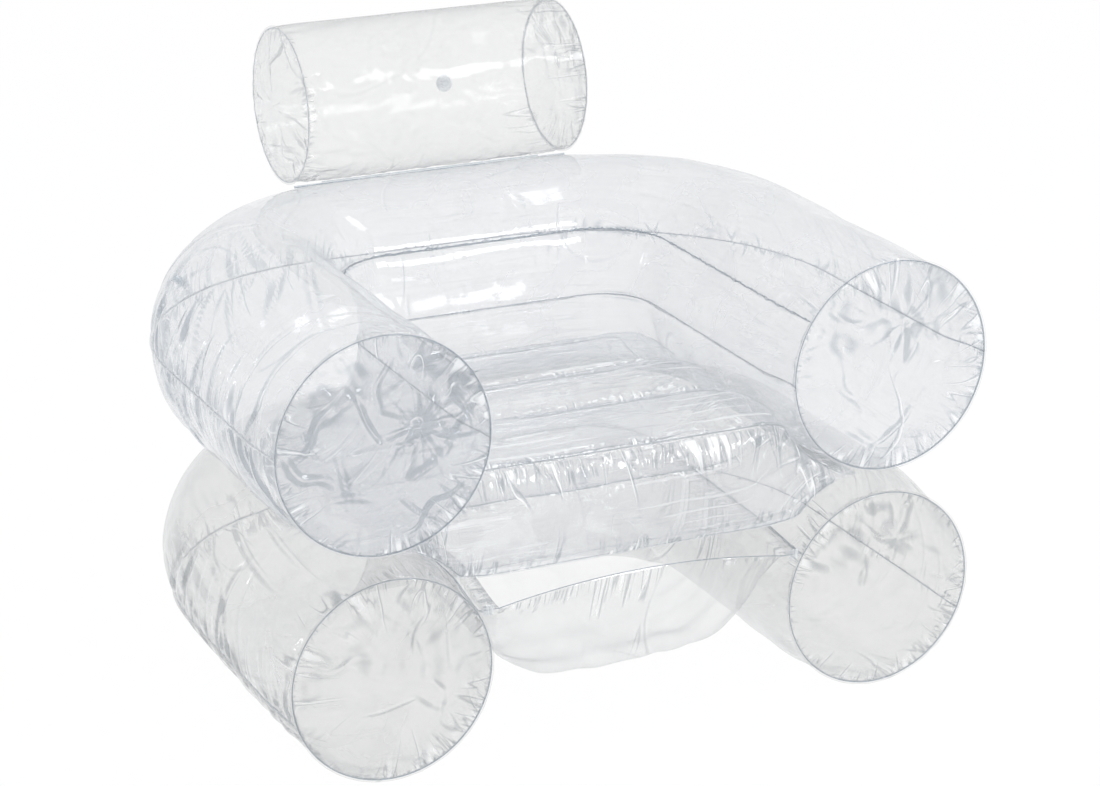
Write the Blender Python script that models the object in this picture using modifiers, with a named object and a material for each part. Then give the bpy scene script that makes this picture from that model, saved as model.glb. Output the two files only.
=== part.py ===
# A clear inflatable armchair: an arm ring and a base ring of welded film tube,
# a channelled seat between them, a loose web under it and a headrest roll.
# Metres, +Z up, the front faces -Y, and the origin is under the middle on the floor.
import bpy
import bmesh
from math import cos, pi, radians, sin, sqrt
from mathutils import Matrix, Vector

# film and welds
film_thickness = 0.0005
weld_gap = 0.0003
single_lip = 0.004
double_lip = 0.0075
second_lip = 0.003

# plan of the two rings
front_y = -0.4964
arm_half_width = 0.427
arm_back_y = 0.2536
arm_corner_radius = 0.26
base_inset = 0.0084

# arm ring section, and how far its front discs sit above the tube's middle
arm_disc_radius = 0.17
arm_disc_rise = 0.009
arm_tube_across = 0.168
arm_tube_up = 0.181

# base ring section
base_disc_radius = 0.1615
base_tube_across = 0.168
base_tube_up = 0.18

# how far each tube is pressed flat, by the floor and by the other tube
floor_press = 0.01
base_press = 0.0005
arm_press = 0.0005

# how far behind a front disc its tube reaches its full section
swell_length = 0.13

# seams, as angles round the tube from its outer side over the top
arm_outer_seam = radians(0)
arm_double_seam = radians(148)
arm_second_seam = radians(184)
base_outer_seam = radians(-22)
base_double_seam_front = radians(150)
base_double_seam_back = radians(144)

# front discs
disc_dome = 0.014
disc_rim_share = 0.975

# seat
seat_front_y = -0.4284
seat_groove_ys = (-0.4284, -0.2284, -0.0794, 0.0756)
seat_bottom_front_y = -0.4514
seat_edge_inset = 0.067
seat_lip_inset = 0.03
seat_groove_rise = 0.0905
seat_crown = 0.022
seat_front_rise = 0.0975
seat_bottom_groove_drop = 0.0435
seat_belly = 0.01
seat_front_bottom_drop = 0.0625
seat_front_bulge = 0.034
seat_side_clearance = 0.005
seat_side_share = 0.62
seat_end_rise = 0.004
seat_weld_spread_share = 1.7
seat_lip_lean = radians(50)
seat_bulge_power = 8
baffle_half_width = 0.225

# loose web under the seat
web_clearance = 0.0008
web_sag = 0.19
web_side_inset = 0.0275
web_hem_rise = 0.022
web_hem_share = 0.17
web_fall_power = 1.6
tab_width = 0.018
tab_height = 0.016
tab_thickness = 0.0006
tab_hem_gap = 0.0005

# headrest
headrest_half_length = 0.2528
headrest_radius = 0.1332
headrest_end_taper = 0.0037
headrest_neck_share = 0.8
headrest_shoulder_share = 0.7
headrest_shoulder_place_share = 0.4
headrest_dome = 0.016
headrest_lean = radians(20.2)
headrest_flange = 0.006
headrest_tab_half_length = 0.2
back_tab_half_length = 0.25

# valves
valve_hole_radius = 0.0075
valve_flange_radius = 0.015
valve_flange_thickness = 0.001
valve_stem_radius = 0.0068
valve_bore_radius = 0.004
valve_stem_out = 0.013
valve_stem_in = 0.007
valve_plug_radius = 0.0036
valve_plug_depth = 0.009
valve_cap_radius = 0.0085
valve_cap_thickness = 0.003
valve_flap_radius = 0.0062
valve_flap_thickness = 0.0005

# how finely things are divided
straight_shares = (0, 0.06, 0.16, 0.4, 0.7, 1)
corner_steps = 5
back_shares = (0.5, 1)
arm_top_steps = 9
arm_band_steps = 2
arm_bottom_steps = 8
base_top_steps = 8
base_bottom_steps = 9
disc_steps = 24
disc_rings = 3
roll_steps = 24
valve_steps = 12
weld_distance = 0.00001

base_tube_height = base_tube_up - floor_press
base_disc_height = base_disc_radius + single_lip
press_height = base_tube_height + base_tube_up - base_press
arm_tube_height = press_height + arm_tube_up - arm_press
arm_disc_height = arm_tube_height + arm_disc_rise
seat_groove_height = press_height + seat_groove_rise
seat_front_height = press_height + seat_front_rise
seat_bottom_groove_height = press_height - seat_bottom_groove_drop
seat_front_bottom_height = press_height - seat_front_bottom_drop
headrest_disc_radius = headrest_radius - headrest_end_taper
half_film = film_thickness / 2
seam_offset = (film_thickness + weld_gap) / 2
tube_end_y = front_y + half_film + weld_gap
seat_corner_radius = arm_corner_radius - seat_edge_inset
corner_centre_x = arm_half_width - arm_corner_radius
corner_centre_y = arm_back_y - arm_corner_radius

for thing in list(bpy.data.objects):
    bpy.data.objects.remove(thing)


def new_collection(name):
    made = bpy.data.collections.new(name)
    bpy.context.scene.collection.children.link(made)
    return made


chair = new_collection("inflatable_armchair")
cutters = new_collection("cutters")


def material(name, colour, roughness):
    made = bpy.data.materials.new(name)
    made.use_nodes = True
    shader = made.node_tree.nodes["Principled BSDF"]
    shader.inputs["Base Color"].default_value = colour + (1,)
    shader.inputs["Roughness"].default_value = roughness
    shader.inputs["Metallic"].default_value = 0
    return made


film_colour = (0.84, 0.88, 0.90)
warm_film_colour = (0.88, 0.89, 0.88)
seam_colour = (0.62, 0.68, 0.72)
valve_colour = (0.80, 0.84, 0.86)


def finish(thing, colour=film_colour, roughness=0.12, angle=radians(40)):
    thing.data.materials.append(material(thing.name + "_film", colour, roughness))
    thing.data.shade_smooth()
    thing.data.set_sharp_from_angle(angle=angle)
    return thing


def object_from(name, mesh, where=chair):
    thing = bpy.data.objects.new(name, mesh)
    where.objects.link(thing)
    return thing


# rows of points become one open surface, and a Solidify gives it the film's thickness
def sheet(name, rows, thickness=film_thickness, colour=film_colour):
    mesh = bpy.data.meshes.new(name)
    form = bmesh.new()
    points = [[form.verts.new(point) for point in row] for row in rows]
    for first, second in zip(points, points[1:]):
        for i in range(len(first) - 1):
            form.faces.new((first[i], first[i + 1], second[i + 1], second[i]))
    bmesh.ops.recalc_face_normals(form, faces=form.faces)
    form.to_mesh(mesh)
    form.free()
    thing = object_from(name, mesh)
    finish(thing, colour)
    thicken(thing, thickness)
    return thing


def thicken(thing, thickness=film_thickness):
    shell = thing.modifiers.new("film", "SOLIDIFY")
    shell.thickness = thickness
    shell.offset = 0
    shell.use_even_offset = True
    return shell


# an open or closed profile of (radius, height) points turned about local Z
def turned(name, profile, steps, closed=False, where=chair):
    mesh = bpy.data.meshes.new(name)
    form = bmesh.new()
    points = [form.verts.new((radius, 0, height)) for radius, height in profile]
    for first, second in zip(points, points[1:]):
        form.edges.new((first, second))
    if closed:
        form.edges.new((points[-1], points[0]))
    form.to_mesh(mesh)
    form.free()
    thing = object_from(name, mesh, where)
    turn = thing.modifiers.new("turn", "SCREW")
    turn.axis = "Z"
    turn.angle = 2 * pi
    turn.steps = turn.render_steps = steps
    turn.use_merge_vertices = True
    turn.merge_threshold = weld_distance
    turn.use_smooth_shade = True
    return thing


def mix(first, second, share):
    return first + (second - first) * share


def smooth(share):
    share = max(0, min(1, share))
    return share * share * (3 - 2 * share)


# each station is a place on the plan path: x, y, its outward direction and its distance from the front
def ring_stations(inset):
    half_width = arm_half_width - inset
    radius = arm_corner_radius - inset
    straight = corner_centre_y - tube_end_y
    left = [(-half_width, tube_end_y + straight * share, -1, 0, straight * share) for share in straight_shares]
    for step in range(1, corner_steps + 1):
        turn = step / corner_steps * pi / 2
        out = (-cos(turn), sin(turn))
        left.append((-corner_centre_x + radius * out[0], corner_centre_y + radius * out[1], out[0], out[1], straight + radius * turn))
    for share in back_shares:
        left.append((-corner_centre_x * (1 - share), corner_centre_y + radius, 0, 1, straight + radius * pi / 2 + corner_centre_x * share))
    right = [(-x, y, -nx, ny, along) for x, y, nx, ny, along in reversed(left[:-1])]
    return left + right


arm_ring = dict(
    stations=ring_stations(0), disc=arm_disc_radius, disc_height=arm_disc_height,
    across=arm_tube_across, up=arm_tube_up, height=arm_tube_height,
    low=press_height + weld_gap / 2 + half_film, high=arm_tube_height + arm_disc_radius * 2)
base_ring = dict(
    stations=ring_stations(base_inset), disc=base_disc_radius, disc_height=base_disc_height,
    across=base_tube_across, up=base_tube_up, height=base_tube_height,
    low=half_film, high=press_height - weld_gap / 2 - half_film)


# a point of the tube's film, with the film's outward and round-the-tube directions there
def tube_point(ring, station, angle):
    x, y, nx, ny, along = station
    swell = smooth(along / swell_length)
    across = mix(ring["disc"], ring["across"], swell)
    up = mix(ring["disc"], ring["up"], swell)
    height = mix(ring["disc_height"], ring["height"], swell)
    out = Vector((nx, ny, 0))
    z = max(ring["low"], min(ring["high"], height + up * sin(angle)))
    point = Vector((x, y, 0)) + out * (across * cos(angle)) + Vector((0, 0, z))
    normal = out * (cos(angle) / across) + Vector((0, 0, sin(angle) / up))
    turning = out * (-across * sin(angle)) + Vector((0, 0, up * cos(angle)))
    return point, normal.normalized(), turning.normalized()


# a panel runs between two seams and ends in a weld lip along each
def tube_panel(name, ring, first_seam, last_seam, steps, first_lip, last_lip, colour=film_colour):
    rows = []
    for station in ring["stations"]:
        first, last = first_seam(station), last_seam(station)
        point, normal, turning = tube_point(ring, station, first)
        edge = point + turning * seam_offset
        row = [edge + normal * first_lip, edge]
        for step in range(1, steps):
            row.append(tube_point(ring, station, mix(first, last, step / steps))[0])
        point, normal, turning = tube_point(ring, station, last)
        edge = point - turning * seam_offset
        row += [edge, edge + normal * last_lip]
        rows.append(row)
    return sheet(name, rows, colour=colour)


def at(angle):
    return lambda station: angle


path_half_length = arm_ring["stations"][len(arm_ring["stations"]) // 2][4]


# the base ring's inner seam climbs the tube towards the back
def base_double_seam(station):
    return mix(base_double_seam_front, base_double_seam_back, smooth(station[4] / path_half_length))


tube_panel("arm_ring_top_panel", arm_ring, at(arm_outer_seam), at(arm_double_seam), arm_top_steps, single_lip, double_lip)
tube_panel("arm_ring_inner_band", arm_ring, at(arm_double_seam), at(arm_second_seam), arm_band_steps, double_lip, second_lip)
tube_panel("arm_ring_bottom_panel", arm_ring, at(arm_second_seam), at(arm_outer_seam + 2 * pi), arm_bottom_steps, second_lip, single_lip)
tube_panel("base_ring_top_panel", base_ring, at(base_outer_seam), base_double_seam, base_top_steps, single_lip, double_lip, warm_film_colour)
tube_panel("base_ring_bottom_panel", base_ring, base_double_seam, at(base_outer_seam + 2 * pi), base_bottom_steps, double_lip, single_lip, warm_film_colour)


# a round panel that bulges out of a tube's end, with its weld lip round the rim
def end_disc(name, radius, dome, colour):
    rim = radius * disc_rim_share
    profile = [(rim * ring / disc_rings, dome * (1 - (ring / disc_rings) ** 2)) for ring in range(disc_rings + 1)]
    profile.append((radius + single_lip, 0))
    disc = turned(name, profile, disc_steps)
    thicken(disc)
    finish(disc, colour)
    return disc


for side, sign in (("left", -1), ("right", 1)):
    disc = end_disc("arm_front_disc_" + side, arm_disc_radius, disc_dome, film_colour)
    disc.location = (sign * arm_half_width, front_y, arm_disc_height)
    disc.rotation_euler = (pi / 2, 0, 0)
    disc = end_disc("base_front_disc_" + side, base_disc_radius, disc_dome, warm_film_colour)
    disc.location = (sign * (arm_half_width - base_inset), front_y, base_disc_height)
    disc.rotation_euler = (pi / 2, 0, 0)


# how far a plan point lies inside the arm ring's centre line
def inside_arm_path(x, y):
    if y <= corner_centre_y:
        return arm_half_width - abs(x)
    if abs(x) <= corner_centre_x:
        return arm_back_y - y
    return arm_corner_radius - sqrt((abs(x) - corner_centre_x) ** 2 + (y - corner_centre_y) ** 2)


def arm_underside(x, y, clearance):
    share = min(1, abs(inside_arm_path(x, y)) / (arm_tube_across + clearance))
    return arm_tube_height - (arm_tube_up + clearance) * sqrt(1 - share * share)


def base_topside(x, y, clearance):
    share = min(1, abs(inside_arm_path(x, y) - base_inset) / (base_tube_across + clearance))
    return base_tube_height + (base_tube_up + clearance) * sqrt(1 - share * share)


# half width of a seat outline that keeps one inset from the arm ring's path
def outline_half_width(inset, y):
    if y <= corner_centre_y:
        return arm_half_width - inset
    radius = arm_corner_radius - inset
    return corner_centre_x + sqrt(max(0, radius * radius - (y - corner_centre_y) ** 2))


lip_half_width = arm_half_width - seat_lip_inset
seat_lip_height = base_topside(lip_half_width, front_y, 0) + weld_gap + half_film + seam_offset


# 0 across the middle of the seat and 1 at its edge, rounding over like a pillow's side
def edge_share(share):
    beyond = max(0, (abs(share) - seat_side_share) / (1 - seat_side_share))
    return 1 - sqrt(max(0, 1 - beyond * beyond))


def channel_share(y):
    for first, second in zip(seat_groove_ys, seat_groove_ys[1:]):
        if first <= y <= second:
            part = (y - first) / (second - first)
            return sqrt(4 * part * (1 - part))
    return 0


def back_share(y):
    rear = corner_centre_y + seat_corner_radius
    return edge_share(mix(seat_side_share, 1, max(0, (y - seat_groove_ys[-1]) / (rear - seat_groove_ys[-1]))))


def seat_top_height(x, y, share):
    crown = channel_share(y) * seat_crown * (1 - edge_share(share))
    front = smooth((seat_groove_ys[1] - y) / (seat_groove_ys[1] - seat_front_y))
    height = mix(seat_groove_height, seat_front_height, front) + crown
    edge = seat_lip_height + seat_end_rise
    height = mix(height, edge, max(edge_share(share), back_share(y)))
    return max(edge, min(height, arm_underside(x, y, seat_side_clearance)))


def seat_bottom_height(x, y, share):
    belly = channel_share(y) * seat_belly * (1 - edge_share(share))
    front = smooth((seat_groove_ys[1] - y) / (seat_groove_ys[1] - seat_front_y))
    height = mix(seat_bottom_groove_height, seat_front_bottom_height, front) - belly
    edge = seat_lip_height - seat_end_rise
    height = mix(height, edge, max(edge_share(share), back_share(y)))
    return min(edge, max(height, base_topside(x, y, seat_side_clearance)))


seat_shares = (-1, -0.94, -0.87, -0.8, -0.73, -0.6, -0.35, 0, 0.35, 0.6, 0.73, 0.8, 0.87, 0.94, 1)


def between(first, last, shares):
    return [mix(first, last, share) for share in shares]


channel_rows = (0, 0.1, 0.35, 0.65, 0.9)
rear_rows = (0, 0.25, 0.5, 0.75, 1)


def seat_rows(height_at, first_y, offset):
    ys = []
    starts = (first_y,) + seat_groove_ys[1:]
    for first, second in zip(starts, starts[1:]):
        ys += between(first, second, channel_rows)
    ys += between(seat_groove_ys[-1], corner_centre_y + seat_corner_radius, rear_rows)
    rows = []
    for y in ys:
        half = outline_half_width(seat_edge_inset, y)
        row = [Vector((share * half, y, height_at(share * half, y, share))) for share in seat_shares]
        outer = outline_half_width(seat_lip_inset, y)
        lip = seat_lip_height + offset
        rows.append([Vector((-outer, y, lip))] + row + [Vector((outer, y, lip))])
    last = corner_centre_y + arm_corner_radius - seat_lip_inset
    rows.append([Vector((point.x, last, seat_lip_height + offset)) for point in rows[-1]])
    rows[-1][0].x = rows[-1][1].x = -corner_centre_x - seat_edge_inset
    rows[-1][-1].x = rows[-1][-2].x = corner_centre_x + seat_edge_inset
    rows[-1][0].x -= seat_edge_inset / 2
    rows[-1][-1].x += seat_edge_inset / 2
    return rows


# the front weld lips of the top and bottom panels lean out over the front panel's lips
top_lip_direction = Vector((0, -cos(seat_lip_lean), sin(seat_lip_lean)))
top_lip_side = Vector((0, sin(seat_lip_lean), cos(seat_lip_lean)))
bottom_lip_direction = Vector((0, -cos(seat_lip_lean), -sin(seat_lip_lean)))
bottom_lip_side = Vector((0, sin(seat_lip_lean), -cos(seat_lip_lean)))

top_rows = seat_rows(seat_top_height, seat_front_y, seam_offset)
bottom_rows = seat_rows(seat_bottom_height, seat_bottom_front_y, -seam_offset)
top_weld = [point.copy() for point in top_rows[0][1:-1]]
bottom_weld = [point.copy() for point in bottom_rows[0][1:-1]]


def front_lip(rows, direction, side):
    first = [point + side * seam_offset * seat_weld_spread_share for point in rows[0]]
    return [[point + direction * second_lip for point in first], first] + rows[1:]


sheet("seat_top_panel", front_lip(top_rows, top_lip_direction, top_lip_side))
sheet("seat_bottom_panel", front_lip(bottom_rows, bottom_lip_direction, bottom_lip_side))

# the front panel bulges forward between the two front welds
front_steps = 6
front_rows = []
columns = []
for top, bottom in zip(top_weld, bottom_weld):
    share = abs(top.x) / (arm_half_width - seat_edge_inset)
    bulge = seat_front_bulge * sqrt(max(0, 1 - edge_share(share) ** 2)) * (1 - share ** seat_bulge_power)
    top = top - top_lip_side * seam_offset * seat_weld_spread_share
    bottom = bottom - bottom_lip_side * seam_offset * seat_weld_spread_share
    column = [top + top_lip_direction * second_lip, top]
    for step in range(1, front_steps):
        part = step / front_steps
        point = top.lerp(bottom, part)
        point.y -= bulge * sqrt(4 * part * (1 - part))
        column.append(point)
    columns.append(column + [bottom, bottom + bottom_lip_direction * second_lip])
sheet("seat_front_panel", columns)

# upright films inside the seat hold each channel's groove
for number, y in enumerate(seat_groove_ys[1:], 1):
    clear = half_film + weld_gap
    tops, bottoms = [], []
    half = outline_half_width(seat_edge_inset, y)
    for share in seat_shares:
        if abs(share * half) <= baffle_half_width:
            x = share * half
            tops.append(Vector((x, y, seat_top_height(x, y, share) - clear)))
            bottoms.append(Vector((x, y, seat_bottom_height(x, y, share) + clear)))
    sheet("seat_baffle_%d" % number, [tops, bottoms])


# the web hangs from the base ring's inner seam and sags into a loose belly
def web_edge(station):
    point, normal, turning = tube_point(base_ring, station, base_double_seam(station))
    return point + normal * (double_lip + half_film + web_clearance)


web_stations = base_ring["stations"][:len(straight_shares) + corner_steps]
web_arch = ((1, 0), (0.999, 0.04), (0.97, 0.42), (0.86, 0.78), (0.6, 0.94), (0, 1))
rear_edge = web_edge(web_stations[-1])
web_ys = between(0, 1, (0, 0.03, 0.07, 0.12, 0.18, 0.28, 0.42, 0.58, 0.75, 0.9, 1))
hem = web_edge(web_stations[0])


def web_edge_at(share):
    y = mix(hem.y, rear_edge.y, share)
    edges = [web_edge(station) for station in web_stations]
    for first, second in zip(edges, edges[1:]):
        if first.y <= y <= second.y:
            part = (y - first.y) / max(second.y - first.y, weld_distance)
            return Vector((mix(first.x, second.x, part), y, mix(first.z, second.z, part)))
    return Vector((edges[-1].x, y, edges[-1].z))


web_rows = []
for share in web_ys:
    edge = web_edge_at(share)
    behind_hem = max(0, (share - web_hem_share) / (1 - web_hem_share))
    drop = web_sag * sin(pi / 2 * min(1, share / web_hem_share)) * cos(pi / 2 * behind_hem ** web_fall_power)
    rise = web_hem_rise * (1 - smooth(share / web_hem_share))
    row = []
    for sign, arches in ((-1, web_arch), (1, web_arch[-2::-1])):
        for part, arch in arches:
            half = abs(edge.x) if arch == 0 else part * (abs(edge.x) - web_side_inset)
            row.append(Vector((sign * half, edge.y, edge.z - drop * arch + rise * (1 - part * part))))
    web_rows.append(row)
web = sheet("base_web", web_rows, colour=warm_film_colour)

# small square weld tabs in front of the hem's ends
for side, sign in (("left", -1), ("right", 1)):
    bpy.ops.mesh.primitive_cube_add(size=1)
    tab = bpy.context.object
    tab.name = tab.data.name = "web_tab_" + side
    for holder in list(tab.users_collection):
        holder.objects.unlink(tab)
    chair.objects.link(tab)
    tab.data.transform(Matrix.Diagonal((tab_width, tab_thickness, tab_height, 1)))
    tab.location = (sign * (abs(hem.x) - tab_width / 2), hem.y - tab_thickness / 2 - tab_hem_gap, hem.z)
    finish(tab, seam_colour)

# the headrest tilts on the weld between its own tab and the back's tab
lean = Vector((0, sin(headrest_lean), cos(headrest_lean)))
back_centre = Vector((0, arm_back_y, arm_tube_height))


# how far the back tube's faceted film lies from its centre along the lean
def film_reach():
    station = (0, arm_back_y, 0, 1, swell_length)
    angles = between(arm_outer_seam, arm_double_seam, [step / arm_top_steps for step in range(arm_top_steps + 1)])
    points = [tube_point(arm_ring, station, angle)[0] - back_centre for angle in angles]
    for first, second in zip(points, points[1:]):
        near, far = first.cross(lean).x, second.cross(lean).x
        if near * far <= 0:
            return first.lerp(second, near / (near - far)).length


reach = film_reach()
pivot = back_centre + lean * (reach + headrest_flange / 2)
hinge = bpy.data.objects.new("headrest_hinge", None)
chair.objects.link(hinge)
hinge.location = pivot


def ride(thing, place, turn):
    thing.parent = hinge
    thing.location = place
    thing.rotation_euler = turn


roll_place = lean * (headrest_flange / 2 + headrest_radius)
neck = headrest_half_length * headrest_neck_share
barrel_end = headrest_half_length - half_film - weld_gap
shoulder_radius = mix(headrest_disc_radius, headrest_radius, headrest_shoulder_share)
shoulder_place = mix(barrel_end, neck, headrest_shoulder_place_share)
barrel_profile = [(headrest_disc_radius, barrel_end), (shoulder_radius, shoulder_place), (headrest_radius, neck)]
barrel_profile += [(headrest_radius, 0)] + [(radius, -height) for radius, height in reversed(barrel_profile)]
barrel = turned("headrest_barrel", barrel_profile, roll_steps)
thicken(barrel)
finish(barrel, warm_film_colour)
# the barrel's first row of points faces the weld, so its turn starts there
side_axis = Vector((1, 0, 0))
toward_weld = -lean
across_weld = side_axis.cross(toward_weld)
barrel_matrix = Matrix((toward_weld, across_weld, side_axis)).transposed()
ride(barrel, roll_place, barrel_matrix.to_euler())

for side, sign in (("left", -1), ("right", 1)):
    disc = end_disc("headrest_disc_" + side, headrest_disc_radius, headrest_dome, warm_film_colour)
    ride(disc, roll_place + Vector((sign * headrest_half_length, 0, 0)), (0, sign * pi / 2, 0))

# the headrest's own weld tab, two films thick
tab_depth = headrest_flange / 2 - weld_gap * 1.5 - half_film
rows = [[Vector((x, 0, 0)) + lean * height for height in (weld_gap / 2, weld_gap / 2 + tab_depth)]
        for x in between(-headrest_tab_half_length, headrest_tab_half_length, (0, 1))]
roll_tab = sheet("headrest_weld_tab", rows, 2 * film_thickness, seam_colour)
ride(roll_tab, (0, 0, 0), (0, 0, 0))


# the back's weld tab stands on the arm ring's film and follows its curve
def back_film_point(x):
    out = abs(x) - corner_centre_x
    if out <= 0:
        return 0
    return arm_corner_radius - sqrt(arm_corner_radius ** 2 - out ** 2)


tab_xs = between(-back_tab_half_length, back_tab_half_length, (0, 0.12, 0.3, 0.5, 0.7, 0.88, 1))
rows = []
for x in tab_xs:
    drop = back_film_point(x) * lean.y / 2
    rows.append([pivot + Vector((x, 0, 0)) - lean * (weld_gap / 2), pivot + Vector((x, 0, 0)) - lean * (headrest_flange / 2 - weld_gap - half_film + drop)])
sheet("back_weld_tab", rows, 2 * film_thickness, seam_colour)


# a push valve: a flanged stem through a hole in the film, its plug, and the flap inside it
def valve(name, host, place, direction, parent=None):
    turn = direction.to_track_quat("Z", "Y").to_euler()
    lift = half_film + weld_gap
    stem_top = lift + valve_stem_out
    stem_low = -valve_stem_in
    profile = [(valve_stem_radius, stem_top), (valve_stem_radius, lift + valve_flange_thickness), (valve_flange_radius, lift + valve_flange_thickness),
               (valve_flange_radius, lift), (valve_stem_radius, lift), (valve_stem_radius, stem_low), (valve_bore_radius, stem_low), (valve_bore_radius, stem_top)]
    stem = turned("valve_stem_" + name, profile, valve_steps, closed=True)
    finish(stem, valve_colour, angle=radians(30))
    cap_low = stem_top + weld_gap
    profile = [(0, cap_low + valve_cap_thickness), (valve_cap_radius, cap_low + valve_cap_thickness), (valve_cap_radius, cap_low),
               (valve_plug_radius, cap_low), (valve_plug_radius, cap_low - valve_plug_depth), (0, cap_low - valve_plug_depth)]
    plug = turned("valve_plug_" + name, profile, valve_steps)
    finish(plug, valve_colour, angle=radians(30))
    bpy.ops.mesh.primitive_cylinder_add(vertices=valve_steps, radius=valve_flap_radius, depth=valve_flap_thickness)
    flap = bpy.context.object
    flap.name = flap.data.name = "valve_flap_" + name
    flap.data.transform(Matrix.Translation((0, 0, stem_low - weld_gap - valve_flap_thickness / 2)))
    bpy.ops.mesh.primitive_cylinder_add(vertices=2 * valve_steps, radius=valve_hole_radius, depth=2 * valve_hole_radius)
    hole = bpy.context.object
    hole.name = hole.data.name = "hole_" + name
    for thing, home in ((flap, chair), (hole, cutters)):
        for holder in list(thing.users_collection):
            holder.objects.unlink(thing)
        home.objects.link(thing)
    finish(flap, valve_colour)
    hole.hide_render = True
    hole.display_type = "WIRE"
    for thing in (stem, plug, flap, hole):
        thing.parent = parent
        thing.location = place
        thing.rotation_euler = turn
    cut = bpy.data.objects[host].modifiers.new("valve_hole", "BOOLEAN")
    cut.operation = "DIFFERENCE"
    cut.solver = "EXACT"
    cut.object = hole


# the middle and outward direction of the flat facet between two stations and two angles
def facet(ring, station_number, first_angle, last_angle):
    corners = [tube_point(ring, ring["stations"][station_number + i], angle)[0] for i, angle in ((0, first_angle), (1, first_angle), (1, last_angle), (0, last_angle))]
    middle = sum(corners, Vector()) / 4
    normal = (corners[2] - corners[0]).cross(corners[3] - corners[1]).normalized()
    outward = tube_point(ring, ring["stations"][station_number], (first_angle + last_angle) / 2)[1]
    return middle, normal if normal.dot(outward) > 0 else -normal


def panel_angles(first, last, steps, step):
    return mix(first, last, step / steps), mix(first, last, (step + 1) / steps)


corner_start = len(straight_shares) - 1
middle, normal = facet(arm_ring, corner_start, *panel_angles(arm_outer_seam, arm_double_seam, arm_top_steps, 2))
valve("arms", "arm_ring_top_panel", middle, normal)

middle, normal = facet(base_ring, corner_start + 3, *panel_angles(base_outer_seam, base_double_seam(base_ring["stations"][corner_start + 3]), base_top_steps, 2))
valve("base", "base_ring_top_panel", middle, normal)

# the seat's valve points down from the flat of its bottom panel
flat_y = mix(seat_groove_ys[1], seat_groove_ys[2], (channel_rows[2] + channel_rows[3]) / 2)
flat_ys = between(seat_groove_ys[1], seat_groove_ys[2], (channel_rows[2], channel_rows[3]))
middle_column = seat_shares.index(0)
flat_xs = [share * outline_half_width(seat_edge_inset, flat_y) for share in seat_shares[middle_column:middle_column + 2]]
flat_corners = ((flat_xs[0], flat_ys[0]), (flat_xs[1], flat_ys[0]), (flat_xs[1], flat_ys[1]), (flat_xs[0], flat_ys[1]))
corners = [Vector((x, y, seat_bottom_height(x, y, 0))) for x, y in flat_corners]
middle = sum(corners, Vector()) / 4
normal = (corners[2] - corners[0]).cross(corners[3] - corners[1]).normalized()
valve("seat", "seat_bottom_panel", middle, -normal if normal.z > 0 else normal)

# the headrest's valve faces back from the roll
facet_number = 6
turn = (facet_number + 0.5) * 2 * pi / roll_steps
local = Vector((cos(turn), sin(turn), 0)) * (headrest_radius * cos(pi / roll_steps))
local.z = neck / 2
direction = barrel_matrix @ Vector((cos(turn), sin(turn), 0))
spot = roll_place + barrel_matrix @ local
if direction.y < 0:
    turn = -turn
    local = Vector((cos(turn), sin(turn), 0)) * (headrest_radius * cos(pi / roll_steps))
    local.z = neck / 2
    direction = barrel_matrix @ Vector((cos(turn), sin(turn), 0))
    spot = roll_place + barrel_matrix @ local
valve("headrest", "headrest_barrel", spot, direction, hinge)
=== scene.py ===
import math
import bpy
import bmesh
import numpy as np
from mathutils import Matrix, Vector


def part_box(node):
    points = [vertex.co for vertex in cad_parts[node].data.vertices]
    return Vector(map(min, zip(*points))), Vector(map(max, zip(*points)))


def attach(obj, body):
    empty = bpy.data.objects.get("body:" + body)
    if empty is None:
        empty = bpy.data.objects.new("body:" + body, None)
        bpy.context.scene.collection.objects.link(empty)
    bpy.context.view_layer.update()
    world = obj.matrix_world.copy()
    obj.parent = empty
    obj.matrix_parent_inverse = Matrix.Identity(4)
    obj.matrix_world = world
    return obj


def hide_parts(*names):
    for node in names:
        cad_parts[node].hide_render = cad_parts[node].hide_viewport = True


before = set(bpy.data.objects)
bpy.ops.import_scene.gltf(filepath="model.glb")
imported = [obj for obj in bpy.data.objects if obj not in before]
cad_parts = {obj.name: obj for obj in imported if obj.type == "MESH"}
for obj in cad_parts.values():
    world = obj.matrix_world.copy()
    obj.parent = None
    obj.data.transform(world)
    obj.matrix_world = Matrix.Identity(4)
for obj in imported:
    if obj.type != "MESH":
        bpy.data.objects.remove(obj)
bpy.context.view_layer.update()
print("frame loaded:", len(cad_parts), "solids")


def addObject(name, data):
    made = bpy.data.objects.new(name, data)
    bpy.context.scene.collection.objects.link(made)
    return made


# the camera stands where the photographer stood: front left of the chair and a little above it
cameraView = dict(place=(-2.1128, -4.6137, 2.2031), tilt=70.41, turn=-24.907, lens=106.84, sensor=36,
                  shiftX=0.0223, shiftY=0.0002, reach=60)
camera = addObject("camera", bpy.data.cameras.new("camera"))
camera.location = cameraView["place"]
camera.rotation_euler = (math.radians(cameraView["tilt"]), 0, math.radians(cameraView["turn"]))
camera.data.sensor_width = cameraView["sensor"]
camera.data.lens = cameraView["lens"]
camera.data.shift_x = cameraView["shiftX"]
camera.data.shift_y = cameraView["shiftY"]
camera.data.clip_end = cameraView["reach"]
bpy.context.scene.camera = camera
bpy.context.scene.view_settings.view_transform = "Standard"
bpy.context.scene.cycles.transparent_max_bounces = 72  # a line of sight can cross a dozen films
bpy.context.scene.cycles.max_bounces = 12

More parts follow.
